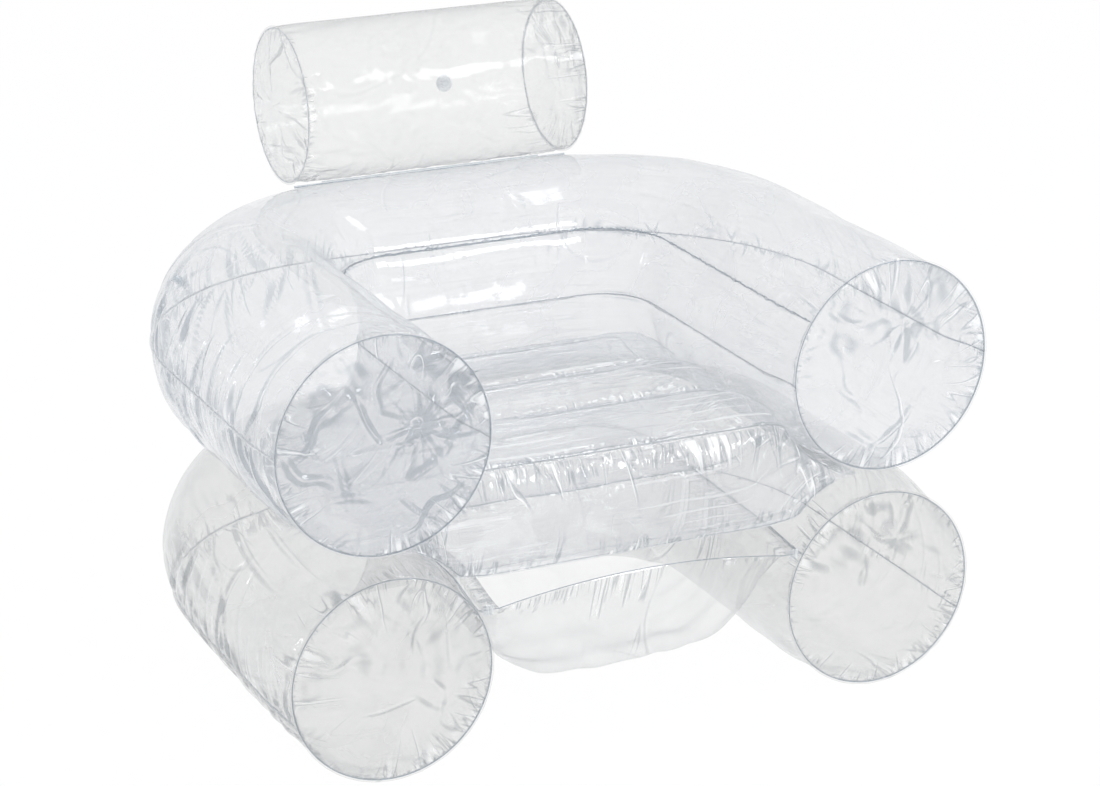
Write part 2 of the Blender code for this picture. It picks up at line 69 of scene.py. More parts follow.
softBoxes = [
    dict(name="keyBox", place=(1.9, -2.9, 3.2), aim=(0, 0, 0.5), size=(1.3, 0.85), power=32),
    dict(name="lowFrontBox", place=(1.1, -4.4, 1.5), aim=(0, 0, 0.4), size=(0.9, 0.3), power=2),
    dict(name="overheadBox", place=(1.4, 0.1, 3.3), aim=(0, 0, 0.4), size=(1.0, 0.2), power=2),
    dict(name="leftBox", place=(-3.4, 1.8, 1.2), aim=(0, 0, 0.5), size=(0.08, 0.8), power=2.5),
]
for box in softBoxes:
    lamp = bpy.data.lights.new(box["name"], "AREA")
    lamp.shape = "RECTANGLE"
    lamp.size, lamp.size_y = box["size"]
    lamp.energy = box["power"]
    holder = addObject(box["name"], lamp)
    holder.location = box["place"]
    holder.rotation_euler = (Vector(box["aim"]) - Vector(box["place"])).to_track_quat("-Z", "Y").to_euler()
    holder.visible_camera = False


# nodes line up in rows of eight, in the order in which they are made
def addNode(tree, kind, **settings):
    count = len(tree.nodes)
    made = tree.nodes.new(kind)
    made.location = (220 * (count % 8), -260 * (count // 8))
    for key, value in settings.items():
        setattr(made, key, value)
    return made


# a number or a colour is set on the socket itself; another socket is linked to it
def feed(tree, socket, value):
    if isinstance(value, (int, float)):
        socket.default_value = value
    elif isinstance(value, tuple):
        socket.default_value = value + (1,)
    else:
        tree.links.new(value, socket)


def addFed(tree, kind, inputs, **settings):
    made = addNode(tree, kind, **settings)
    for name, value in inputs.items():
        feed(tree, made.inputs[name], value)
    return made


def addMath(tree, operation, *values):
    made = addNode(tree, "ShaderNodeMath", operation=operation)
    for socket, value in zip(made.inputs, values):
        feed(tree, socket, value)
    return made.outputs[0]


def mixShaders(tree, share, first, second):
    made = addNode(tree, "ShaderNodeMixShader")
    for socket, value in zip(made.inputs, (share, first, second)):
        feed(tree, socket, value)
    return made.outputs[0]


def emptyTree(holder):
    holder.use_nodes = True
    holder.node_tree.nodes.clear()
    return holder.node_tree


# 1 where the eye, a reflection or a refraction looks, 0 for the light that falls on things
def seenByEye(tree):
    path = addNode(tree, "ShaderNodeLightPath")
    either = addMath(tree, "MAXIMUM", path.outputs["Is Camera Ray"], path.outputs["Is Glossy Ray"])
    return addMath(tree, "MAXIMUM", either, path.outputs["Is Transmission Ray"])


def makeWorld(softColour=(0.985, 0.99, 1.0), softStrength=1.0):
    world = bpy.data.worlds.new("studio")
    bpy.context.scene.world = world
    tree = emptyTree(world)
    soft = addFed(tree, "ShaderNodeBackground", {"Color": softColour, "Strength": softStrength})
    white = addFed(tree, "ShaderNodeBackground", {"Color": (1, 1, 1)})
    blend = mixShaders(tree, seenByEye(tree), soft.outputs[0], white.outputs[0])
    addFed(tree, "ShaderNodeOutputWorld", {"Surface": blend})


makeWorld()

floorPaper = dict(halfSide=14, sink=0.001, colour=(0.96, 0.96, 0.96), whiteShare=0.93)


def makeFloor():
    form = bmesh.new()
    bmesh.ops.create_grid(form, x_segments=1, y_segments=1, size=floorPaper["halfSide"])
    bmesh.ops.translate(form, verts=form.verts, vec=(0, 0, -floorPaper["sink"]))
    mesh = bpy.data.meshes.new("floor")
    form.to_mesh(mesh)
    form.free()
    floor = addObject("floor", mesh)
    paper = bpy.data.materials.new("floorPaper")
    tree = emptyTree(paper)
    matte = addFed(tree, "ShaderNodeBsdfDiffuse", {"Color": floorPaper["colour"]})
    white = addNode(tree, "ShaderNodeEmission")
    share = addMath(tree, "MULTIPLY", seenByEye(tree), floorPaper["whiteShare"])
    blend = mixShaders(tree, share, matte.outputs[0], white.outputs[0])
    addFed(tree, "ShaderNodeOutputMaterial", {"Surface": blend})
    mesh.materials.append(paper)


makeFloor()
print("camera, soft boxes, world and floor made")

# noises of the film: scale, detail and distortion; then widths of the painted shade lines and painted highlights,
# limits and depths
filmNoise = dict(crease=(2.5, 1.2), fine=(70, 3, 0), fold=(3.1, 0, 0.15), foldPatch=(5.5, 1, 0), patch=(7, 1, 0))
puckerNoise = dict(scale=(66, 10), detail=1.5, distortion=0.3, line=0.05, toothFrom=0.56, toothTo=0.68)
wideNoise = dict(scale=(17, 3), detail=1, distortion=0.4, line=0.017, besideShift=0.024, besideLine=0.014,
                 reachLeast=0.01, reachMost=0.12, gain=2.2)
streakNoise = dict(scale=(3.2, 75), detail=1.5, distortion=0.2, line=0.03, highlightFrom=0.6, highlightTo=0.72,
                   whiteShare=0.6, creaseShadeShare=0.35, lift=0.6)
foldLines = dict(width=0.006, highlightShift=0.009, highlightWidth=0.006, sink=-0.35, patchFrom=0.5, patchTo=0.62)
weldFade = dict(start=0.0006, full=0.003)


# wrinkles of welded film: long soft creases, fine crazing, and puckers square to a weld, each with a painted dark
# shade line where refraction would darken the crease, and painted highlights beside some of them
def makeFilmGroup():
    group = bpy.data.node_groups.new("filmWrinkles", "ShaderNodeTree")
    sockets = group.interface
    for name, value in (("Crease scale", 7), ("Folds", 0.5), ("Streaks", 0), ("Steep", 0), ("Weld distance", 1),
                        ("End distance", 1)):
        sockets.new_socket(name, in_out="INPUT", socket_type="NodeSocketFloat").default_value = value
    sockets.new_socket("Along", in_out="INPUT", socket_type="NodeSocketVector")
    for name in ("Height", "Roughness", "Veil", "Bright", "Line"):
        sockets.new_socket(name, in_out="OUTPUT", socket_type="NodeSocketFloat")
    start = addNode(group, "NodeGroupInput").outputs
    end = addNode(group, "NodeGroupOutput").inputs
    objectSpot = addNode(group, "ShaderNodeTexCoord").outputs["Object"]

    def calc(operation, *values):
        return addMath(group, operation, *values)

    def noise(vector, scale, detail, distortion=0, dimensions="3D"):
        inputs = {"Vector": vector, "Scale": scale, "Detail": detail, "Distortion": distortion}
        return addFed(group, "ShaderNodeTexNoise", inputs, noise_dimensions=dimensions).outputs["Fac"]

    def ranged(value, low, high, toLow=0, toHigh=1, kind="SMOOTHSTEP"):
        inputs = {"Value": value, "From Min": low, "From Max": high, "To Min": toLow, "To Max": toHigh}
        return addFed(group, "ShaderNodeMapRange", inputs, interpolation_type=kind).outputs[0]

    # a noise drawn out across or along the film
    def drawnNoise(values, turned=False):
        across, down = values["scale"][::-1] if turned else values["scale"]
        drawn = addFed(group, "ShaderNodeMapping", {"Vector": start["Along"]})
        drawn.inputs["Scale"].default_value = (across, down, 1)
        return noise(drawn.outputs["Vector"], 1, values["detail"], values["distortion"], "2D")

    # a thin line wherever a noise crosses its middle value
    def ridge(fac, width):
        return ranged(calc("ABSOLUTE", calc("SUBTRACT", fac, 0.5)), width, 0)

    def largest(*values):
        most = values[0]
        for value in values[1:]:
            most = calc("MAXIMUM", most, value)
        return most

    crease = noise(objectSpot, start["Crease scale"], *filmNoise["crease"])
    names = ("fine", "fold", "foldPatch", "patch")
    fine, fold, foldPatch, patch = [noise(objectSpot, *filmNoise[name]) for name in names]
    foldPatch = ranged(foldPatch, foldLines["patchFrom"], foldLines["patchTo"])
    patch = ranged(patch, 0.36, 0.66, 0.15, 1.5)
    heights, lines, paintedHighlights = [], [], []
    for socket, turned in (("Weld distance", False), ("End distance", True)):
        pucker, wide = drawnNoise(puckerNoise, turned), drawnNoise(wideNoise, turned)
        reach = ranged(wide, 0.3, 0.7, wideNoise["reachLeast"], wideNoise["reachMost"], "LINEAR")
        share = calc("DIVIDE", start[socket], calc("MULTIPLY", reach, patch))
        off = ranged(start[socket], weldFade["start"], weldFade["full"])
        near = calc("MULTIPLY", ranged(share, 1, 0.3), off)
        close = calc("MULTIPLY", ranged(share, 0.4, 0.1), off)
        finePart = calc("MULTIPLY", pucker, close)
        heights.append(calc("MULTIPLY_ADD", calc("MULTIPLY", wide, near), wideNoise["gain"], finePart))
        fineLine = calc("MULTIPLY", ridge(pucker, puckerNoise["line"]), close)
        lines += [fineLine, calc("MULTIPLY", ridge(wide, wideNoise["line"]), near)]
        # painted highlights: a white line beside each wide crease, white teeth on the puckers near a weld, a white
        # line beside each fold and along the brighter streaks
        beside = ridge(calc("SUBTRACT", wide, wideNoise["besideShift"]), wideNoise["besideLine"])
        toothHighlight = calc("MULTIPLY", ranged(pucker, puckerNoise["toothFrom"], puckerNoise["toothTo"]), close)
        paintedHighlights += [calc("MULTIPLY", beside, near), toothHighlight]
    foldLine = calc("MULTIPLY", calc("MULTIPLY", ridge(fold, foldLines["width"]), foldPatch), start["Folds"])
    foldHighlight = ridge(calc("SUBTRACT", fold, foldLines["highlightShift"]), foldLines["highlightWidth"])
    foldHighlight = calc("MULTIPLY", calc("MULTIPLY", foldHighlight, foldPatch), start["Folds"])
    s = streakNoise
    streak = drawnNoise(s)
    streakLine = calc("MULTIPLY", calc("MULTIPLY", ridge(streak, s["line"]), patch), start["Streaks"])
    streakHighlight = calc("MULTIPLY", ranged(streak, s["highlightFrom"], s["highlightTo"]), start["Streaks"])
    feed(group, end["Bright"], largest(*paintedHighlights, foldHighlight, calc("MULTIPLY", streakHighlight, s["whiteShare"])))
    # painted shade lines where the film climbs steeply, standing in for refraction in the creases
    steepLine = ranged(start["Steep"], 0.19, 0.62)
    feed(group, end["Line"], largest(*lines, foldLine, calc("MULTIPLY", streakLine, s["creaseShadeShare"]), steepLine))
    height = calc("MULTIPLY_ADD", fine, 0.05, calc("ADD", *heights))
    bend = calc("ABSOLUTE", calc("SUBTRACT", crease, 0.5))
    height = calc("MULTIPLY_ADD", bend, -1.1, height)
    height = calc("MULTIPLY_ADD", calc("MULTIPLY", streak, start["Streaks"]), s["lift"], height)
    feed(group, end["Height"], calc("MULTIPLY_ADD", foldLine, foldLines["sink"], height))
    feed(group, end["Roughness"], ranged(fine, 0, 1, 0.03, 0.1, "LINEAR"))
    feed(group, end["Veil"], ranged(crease, 0.45, 0.75))
    return group


filmWrinkles = makeFilmGroup()


# clear film: what is behind shows through a faint tint, under a milky veil and a gloss; only outer faces show; the
# tint carries painted shade where the film turns away from the eye and painted dark lines along creases, and the
# veil carries painted highlights
def makeFilm(name, tint, grazingShadeTint, creaseShadeTint, veil, turnPower=4, veilShare=0.25, gloss=1.2, glossMost=0.5,
             bump=0.5, bumpDepth=0.003, creaseScale=7, folds=0.4, creaseShadeShare=0.65, streaks=0, paintedHighlightShare=0.4):
    film = bpy.data.materials.new(name)
    tree = emptyTree(film)

    def calc(operation, *values):
        return addMath(tree, operation, *values)

    def mixed(share, first, second):
        made = addFed(tree, "ShaderNodeMix", {"Factor": share, "A": first, "B": second}, data_type="RGBA")
        return made.outputs["Result"]

    def mark(attribute):
        return addNode(tree, "ShaderNodeAttribute", attribute_name=attribute).outputs["Fac"]

    along = addNode(tree, "ShaderNodeUVMap", uv_map="along").outputs["UV"]
    inputs = {"Crease scale": creaseScale, "Folds": folds, "Streaks": streaks, "Steep": mark("steep"),
              "Weld distance": mark("weldDistance"), "End distance": mark("endDistance"), "Along": along}
    wrinkles = addFed(tree, "ShaderNodeGroup", inputs, node_tree=filmWrinkles).outputs
    inputs = {"Strength": bump, "Distance": bumpDepth, "Height": wrinkles["Height"]}
    normal = addFed(tree, "ShaderNodeBump", inputs).outputs["Normal"]
    turned = addFed(tree, "ShaderNodeLayerWeight", {"Blend": 0.5, "Normal": normal}).outputs["Facing"]
    # painted shade: the tint darkens where the bumped film turns away from the eye, standing in for refraction of
    # darker surroundings, on top of the film's real longer path at grazing angles
    body = mixed(calc("POWER", turned, turnPower), tint, grazingShadeTint)
    # painted shade: dark lines along creases, folds, streaks and steep slopes are mixed into the tint
    creaseShaded = mixed(calc("MULTIPLY", wrinkles["Line"], creaseShadeShare), body, creaseShadeTint)
    through = addFed(tree, "ShaderNodeBsdfTransparent", {"Color": creaseShaded}).outputs[0]
    fresnel = addFed(tree, "ShaderNodeFresnel", {"IOR": 1.5, "Normal": normal}).outputs["Fac"]
    shine = calc("MINIMUM", calc("MULTIPLY", fresnel, gloss), glossMost)
    milky = calc("MULTIPLY_ADD", wrinkles["Veil"], veilShare * 0.5, veilShare * 0.75)
    # painted highlights: where their mask is up, the veil takes a larger share and turns near white, standing in
    # for glints off puckers and folds
    milky = calc("MAXIMUM", milky, calc("MULTIPLY", wrinkles["Bright"], paintedHighlightShare))
    whole = calc("ADD", shine, milky)
    glossy = calc("DIVIDE", shine, whole)
    paintedHighlightVeil = mixed(wrinkles["Bright"], veil, (0.97, 0.98, 0.985))
    inputs = {"Base Color": mixed(glossy, paintedHighlightVeil, (0.98, 0.99, 1.0)), "Metallic": glossy,
              "Roughness": wrinkles["Roughness"], "Normal": normal}
    surface = addFed(tree, "ShaderNodeBsdfPrincipled", inputs).outputs[0]
    clear = addNode(tree, "ShaderNodeBsdfTransparent").outputs[0]
    sides = addNode(tree, "ShaderNodeNewGeometry").outputs["Backfacing"]
    either = mixShaders(tree, sides, mixShaders(tree, whole, through, surface), clear)
    thin = addFed(tree, "ShaderNodeBsdfTransparent", {"Color": (0.985, 0.985, 0.985)}).outputs[0]
    lightOrEye = mixShaders(tree, seenByEye(tree), thin, either)
    addFed(tree, "ShaderNodeOutputMaterial", {"Surface": lightOrEye})
    return film


# each film's tints: the see-through tint, the painted shade at grazing angles, the painted shade of crease lines,
# and the milky veil
coolTints = ((0.955, 0.958, 0.963), (0.50, 0.54, 0.57), (0.42, 0.48, 0.53), (0.72, 0.725, 0.745))
warmTints = ((0.958, 0.959, 0.958), (0.54, 0.55, 0.56), (0.46, 0.49, 0.51), (0.73, 0.732, 0.732))
baseTints = ((0.935, 0.935, 0.933), (0.50, 0.51, 0.52), (0.40, 0.43, 0.45), (0.62, 0.62, 0.615))
coolFilm = makeFilm("coolFilm", *coolTints, veilShare=0.3, creaseShadeShare=0.85, streaks=0.35)
coolDiscFilm = makeFilm("coolDiscFilm", *coolTints, bump=0.75, creaseScale=9, folds=1, veilShare=0.17,
                        creaseShadeShare=0.6, paintedHighlightShare=0.55)
warmDiscFilm = makeFilm("warmDiscFilm", *warmTints, bump=0.7, creaseScale=9, folds=1)
baseFilm = makeFilm("baseFilm", *baseTints, veilShare=0.28, creaseShadeShare=0.8, streaks=0.2)
baseDiscFilm = makeFilm("baseDiscFilm", *baseTints, bump=0.6, creaseScale=8, folds=0.8, paintedHighlightShare=0.3)
seatFilm = makeFilm("seatFilm", (0.97, 0.973, 0.978), (0.66, 0.69, 0.715), (0.48, 0.54, 0.59), (0.80, 0.81, 0.83),
                    bump=0.3, creaseScale=11, folds=0.2, creaseShadeShare=0.6, veilShare=0.13, streaks=1, paintedHighlightShare=0.7)
seatFrontFilm = makeFilm("seatFrontFilm", (0.971, 0.972, 0.975), (0.66, 0.68, 0.70), (0.48, 0.53, 0.57),
                         (0.79, 0.792, 0.80), bump=0.3, creaseScale=11, folds=0.3, veilShare=0.15, streaks=0.15,
                         paintedHighlightShare=0.7)
rollFilm = makeFilm("rollFilm", *warmTints, folds=0.15, gloss=0.3, glossMost=0.4, bump=0.7, creaseScale=11)
rollTabFilm = makeFilm("rollTabFilm", (0.80, 0.83, 0.86), (0.5, 0.56, 0.6), (0.45, 0.5, 0.55), (0.6, 0.64, 0.68),
                       turnPower=0.2, gloss=0.4, bump=0.2)
webFilm = makeFilm("webFilm", *warmTints, folds=0.5, veilShare=0.17)
weldFilm = makeFilm("weldFilm", (0.88, 0.90, 0.92), (0.55, 0.60, 0.64), (0.5, 0.56, 0.6), (0.72, 0.75, 0.78),
                    gloss=1.8, bump=0.2, creaseScale=40)
beadFilm = makeFilm("beadFilm", (0.40, 0.46, 0.51), (0.22, 0.28, 0.33), (0.34, 0.39, 0.44), (0.38, 0.43, 0.48),
                    gloss=2.0, bump=0.1, creaseScale=60)
valveVinyl = makeFilm("valveVinyl", (0.76, 0.79, 0.82), (0.45, 0.5, 0.54), (0.6, 0.65, 0.69), (0.6, 0.64, 0.67),
                      veilShare=0.5, gloss=2.0, bump=0.15, creaseScale=60)
print("film materials made")


def mix(first, second, share):
    return first + (second - first) * share


def smooth(share):
    share = np.clip(share, 0, 1)
    return share * share * (3 - 2 * share)


# evenly spread shares that crowd towards both ends, where the welds are
def crowded(count, crowd=0.6):
    share = np.linspace(0, 1, count + 1)
    return mix(share, (1 - np.cos(math.pi * share)) / 2, crowd)


# puckers start at a weld and die out away from it; each has its own place, length, depth and slant
def puckers(along, distance, total, seed, spacing, length, depth, closed=False, spread=0.13, lean=0,
            broad=(0.14, 0.26)):
    random = np.random.default_rng(seed)
    count = int(total / spacing)
    places = (np.arange(count) + random.uniform(-0.38, 0.38, count)) * total / count
    lengths = length * random.lognormal(0, 0.5, count)
    depths = depth * random.uniform(0.25, 1.25, count)
    slants = random.normal(lean, 0.28, count)
    widths = spacing * random.uniform(broad[0], broad[1], count)
    field = np.zeros_like(along)
    for place, reach, deep, slant, wide in zip(places, lengths, depths, slants, widths):
        offset = along - place - slant * distance
        if closed:
            offset = (offset + total / 2) % total - total / 2
        width = wide + spread * distance
        rise = 1 - np.exp(-distance / 0.004)
        field -= deep * rise * np.exp(-(offset / width) ** 2) * np.exp(-(distance / reach) ** 2)
    return field


# slow uneven swells, a few waves with random directions
def swells(u, v, seed, size=0.16, depth=0.0012, count=9):
    random = np.random.default_rng(seed)
    field = np.zeros_like(u)
    for i in range(count):
        turn = random.uniform(0, 2 * math.pi)
        wave = 2 * math.pi / (size * random.uniform(0.6, 1.6))
        field += np.sin(wave * (u * math.cos(turn) + v * math.sin(turn)) + random.uniform(0, 2 * math.pi))
    return field * depth / math.sqrt(count)


# creases that spread like a star from a point, as round a welded valve
def star(u, v, seed, reach=0.05, depth=0.0022, arms=9):
    random = np.random.default_rng(seed)
    distance = np.hypot(u, v)
    turn = np.arctan2(v, u)
    field = np.zeros_like(u)
    for i in range(arms):
        aim = 2 * math.pi * (i + random.uniform(-0.3, 0.3)) / arms
        off = (turn - aim + math.pi) % (2 * math.pi) - math.pi
        long = reach * random.uniform(0.6, 1.7)
        field -= depth * np.exp(-(off * distance / (0.0035 + 0.05 * distance)) ** 2) * np.exp(-distance / long)
    return field * smooth(distance / 0.012)


# bent ridges and hollows strewn over a panel
def crumples(u, v, seed, count, reach, length=0.045, width=0.0055, depth=0.004):
    random = np.random.default_rng(seed)
    field = np.zeros_like(u)
    for i in range(count):
        spot = reach * math.sqrt(random.uniform(0, 1)) * np.exp(1j * random.uniform(0, 2 * math.pi))
        aim = random.uniform(0, math.pi)
        du, dv = u - spot.real, v - spot.imag
        along = du * math.cos(aim) + dv * math.sin(aim)
        across = dv * math.cos(aim) - du * math.sin(aim)
        across += 0.008 * np.sin(along / (0.018 * random.uniform(0.7, 1.8)) + random.uniform(0, 6))
        deep = depth * random.uniform(0.4, 1.2) * random.choice((-1, 1))
        wide = width * random.uniform(0.6, 1.5)
        field += deep * np.exp(-(across / wide) ** 2) * np.exp(-(along / length) ** 2)
    return field


# how steeply a field of small heights climbs, which the films turn into painted shade lines; u runs down the rows
# and v along the columns
def steepness(field, u, v):
    rows = np.gradient(field, axis=0) / np.maximum(np.abs(np.gradient(u, axis=0)), 1e-4)
    columns = np.gradient(field, axis=1) / np.maximum(np.abs(np.gradient(v, axis=1)), 1e-4)
    return np.hypot(rows, columns)


def lipRipple(along, seed, size=0.02, depth=0.0012):
    random = np.random.default_rng(seed)
    field = np.zeros_like(along)
    for i in range(5):
        wave = 2 * math.pi / (size * random.uniform(0.6, 2.4))
        field += np.sin(wave * along + random.uniform(0, 2 * math.pi))
    return field * depth / 2


filmSheet = dict(thickness=0.0006)


# a grid of points becomes a film sheet with its thickness, its unrolled map and each point's distances to welds
def makeSheet(name, points, along, weldDistance, film, outward, endDistance=None, wrapLength=0,
              thickness=filmSheet["thickness"], steep=0):
    rows, columns = points.shape[:2]
    wrap = columns if wrapLength else columns - 1
    row, column = np.meshgrid(np.arange(rows - 1), np.arange(wrap), indexing="ij")
    here = (row * columns + column).ravel()
    beside = (row * columns + (column + 1) % columns).ravel()
    faces = np.stack([here, beside, beside + columns, here + columns], axis=1)
    uv = along.reshape(-1, 2)[faces]
    uv[np.ravel(column == columns - 1), 1:3, 0] += wrapLength
    flat = points.reshape(-1, 3)
    middle = faces[len(faces) // 2]
    normal = np.cross(flat[middle[2]] - flat[middle[0]], flat[middle[3]] - flat[middle[1]])
    if np.dot(normal, outward(flat[middle].mean(axis=0))) < 0:
        faces, uv = faces[:, ::-1], uv[:, ::-1]
    mesh = bpy.data.meshes.new(name)
    mesh.from_pydata(flat.tolist(), [], faces.tolist())
    mesh.update()
    mesh.uv_layers.new(name="along").data.foreach_set("uv", uv.astype(np.float32).ravel())
    for title, values in (("weldDistance", weldDistance), ("endDistance", endDistance), ("steep", steep)):
        mark = mesh.attributes.new(title, "FLOAT", "POINT")
        values = np.ones(rows * columns) if values is None else (values + np.zeros((rows, columns))).ravel()
        mark.data.foreach_set("value", values.astype(np.float32))
    mesh.materials.append(film)
    piece = addObject(name, mesh)
    shell = piece.modifiers.new("film", "SOLIDIFY")
    shell.thickness = thickness
    shell.offset = 0
    return plainMesh(piece)


# for a sheet whose outside looks the same way everywhere
def towards(*way):
    return lambda spot: np.array(way)


# the modifiers' result replaces the object's mesh
def plainMesh(piece):
    mesh = bpy.data.meshes.new_from_object(piece.evaluated_get(bpy.context.evaluated_depsgraph_get()))
    mesh.name = piece.name
    piece.modifiers.clear()
    piece.data = mesh
    mesh.shade_smooth()
    return piece


def place(piece, body, slot, *solids):
    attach(piece, body)
    if solids:
        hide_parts(*solids)
    return piece


# weld lines: a thin bead swept along each seam by a node tree
def makeBeadTree():
    tree = bpy.data.node_groups.new("weldBead", "GeometryNodeTree")
    sockets = (("Geometry", "Geometry"), ("Bead radius", "Float"), ("Bead sides", "Int"), ("Film", "Material"))
    for name, kind in sockets:
        tree.interface.new_socket(name, in_out="INPUT", socket_type="NodeSocket" + kind)
    tree.interface.new_socket("Geometry", in_out="OUTPUT", socket_type="NodeSocketGeometry")
    start = addNode(tree, "NodeGroupInput").outputs
    line = addFed(tree, "GeometryNodeMeshToCurve", {"Mesh": start["Geometry"]}).outputs["Curve"]
    inputs = {"Resolution": start["Bead sides"], "Radius": start["Bead radius"]}
    circle = addFed(tree, "GeometryNodeCurvePrimitiveCircle", inputs).outputs["Curve"]
    inputs = {"Curve": line, "Profile Curve": circle, "Fill Caps": True}
    swept = addFed(tree, "GeometryNodeCurveToMesh", inputs).outputs["Mesh"]
    real = addFed(tree, "GeometryNodeRealizeInstances", {"Geometry": swept}).outputs["Geometry"]
    inputs = {"Geometry": real, "Material": start["Film"]}
    painted = addFed(tree, "GeometryNodeSetMaterial", inputs).outputs["Geometry"]
    addFed(tree, "NodeGroupOutput", {"Geometry": painted})
    return tree


beadTree = makeBeadTree()


beadShape = dict(sides=5, arm=0.0007, base=0.0007, rear=0.0004, frontDisc=0.001, seat=0.0009, hem=0.0008,
                 headrest=0.0008, backTab=0.0006)


def socketId(tree, name):
    sockets = tree.interface.items_tree
    return next(item.identifier for item in sockets if item.name == name and item.in_out == "INPUT")


def makeBeads(name, lines, body, radius):
    points = np.concatenate(lines)
    edges = []
    first = 0
    for line in lines:
        edges += [(first + i, first + i + 1) for i in range(len(line) - 1)]
        first += len(line)
    mesh = bpy.data.meshes.new(name)
    mesh.from_pydata(points.tolist(), edges, [])
    piece = addObject(name, mesh)
    sweep = piece.modifiers.new("bead", "NODES")
    sweep.node_group = beadTree
    for title, value in (("Bead radius", radius), ("Bead sides", beadShape["sides"]), ("Film", beadFilm)):
        sweep[socketId(beadTree, title)] = value
    plainMesh(piece)
    return place(piece, body, "weld_tab")


# the plan of the two rings, one above the other: a U that is open at the front
plan = dict(frontY=-0.4964, halfWidth=0.427, backY=0.2536, cornerRadius=0.26, baseInset=0.0084, swell=0.13,
            endGap=0.00055, press=0.3495, pressGap=0.0004)
cornerX = plan["halfWidth"] - plan["cornerRadius"]
cornerY = plan["backY"] - plan["cornerRadius"]
tubeEndY = plan["frontY"] + plan["endGap"]

armTube = dict(inset=0, disc=0.17, discHeight=0.539, across=0.168, up=0.181, height=0.53,
               low=plan["press"] + plan["pressGap"], high=2)
baseTube = dict(inset=plan["baseInset"], disc=0.1615, discHeight=0.1655, across=0.168, up=0.18, height=0.17,
                low=0.0003, high=plan["press"] - plan["pressGap"], doubleSeamFront=150, doubleSeamBack=144)
lips = dict(single=0.004, double=0.0075, second=0.003, gap=0.0004)


# stations along a ring: place, outward direction, distance from the nearer front end and distance travelled
def ringPath(inset, spacing=0.0031):
    radius = plan["cornerRadius"] - inset
    straight = cornerY - tubeEndY
    arc = radius * math.pi / 2
    total = 2 * (straight + arc + cornerX)
    travel = np.linspace(0, total, int(total / spacing / 2) * 2 + 1)
    along = np.minimum(travel, total - travel)
    side = np.where(travel < total / 2, -1.0, 1.0)
    turn = np.clip((along - straight) / radius, 0, math.pi / 2)
    beyond = np.clip(along - straight - arc, 0, cornerX)
    x = (cornerX + radius * np.cos(turn) - beyond) * side
    y = cornerY + radius * np.sin(turn) - np.clip(straight - along, 0, straight)
    corner = np.sin(2 * turn) ** 2
    return dict(x=x, y=y, nx=np.cos(turn) * side, ny=np.sin(turn), along=along, travel=travel, total=total,
                corner=corner)


# points on a tube's film with their outward and round-the-tube directions; angles are rows by columns, in radians
def tubeSurface(tube, path, angles):
    swell = smooth(path["along"] / plan["swell"])[:, None]
    across = mix(tube["disc"], tube["across"], swell)
    up = mix(tube["disc"], tube["up"], swell)
    height = mix(tube["discHeight"], tube["height"], swell)
    cos, sin = np.cos(angles), np.sin(angles)
    nx, ny = path["nx"][:, None], path["ny"][:, None]
    reach = across * cos
    x, y = path["x"][:, None] + nx * reach, path["y"][:, None] + ny * reach
    points = np.stack([x, y, height + up * sin], axis=2)
    normal = np.stack([nx * cos / across, ny * cos / across, sin / up + 0 * nx], axis=2)
    turning = np.stack([-nx * across * sin, -ny * across * sin, up * cos], axis=2)
    return points, unit(normal), unit(turning)


def unit(vectors):
    return vectors / np.linalg.norm(vectors, axis=-1, keepdims=True)


def pressFlat(points, tube):
    points[..., 2] = np.clip(points[..., 2], tube["low"], tube["high"])
    return points


def seamAngles(tube, path, which):
    if which == "baseDouble":
        share = smooth(path["along"] / (path["total"] / 2))
        return np.radians(mix(tube["doubleSeamFront"], tube["doubleSeamBack"], share))
    return np.full_like(path["along"], math.radians(which))


# how far and how strongly the puckers of each kind of weld show
reachShare = dict(single=0.8, double=5, second=4)
seamGain = dict(single=1.0, double=0.1, second=0.15)
# a valve's place along its ring, its turn round the tube in degrees, and how deep the film dips under it
valveDips = dict(armTopFilm=(0.531, 40.6, 0.0053), baseTopFilm=(0.766, 31.5, 0.0075))
# puckers are given as spacing, length and depth
tubeWrinkles = dict(pucker=(0.031, 0.085, 0.0048), end=(0.03, 0.06, 0.004), bold=(0.034, 0.13, 0.005),
                    boldBroad=(0.09, 0.17), groove=0.003, grooveReach=0.007, cornerGain=0.8, calmFrom=0.75,
                    calmOver=0.25, calm=0.6, rollFrom=0.62, rollRise=0.002, dipFrom=0.018, dipOver=0.05,
                    dipRise=0.02, frontRun=0.56)


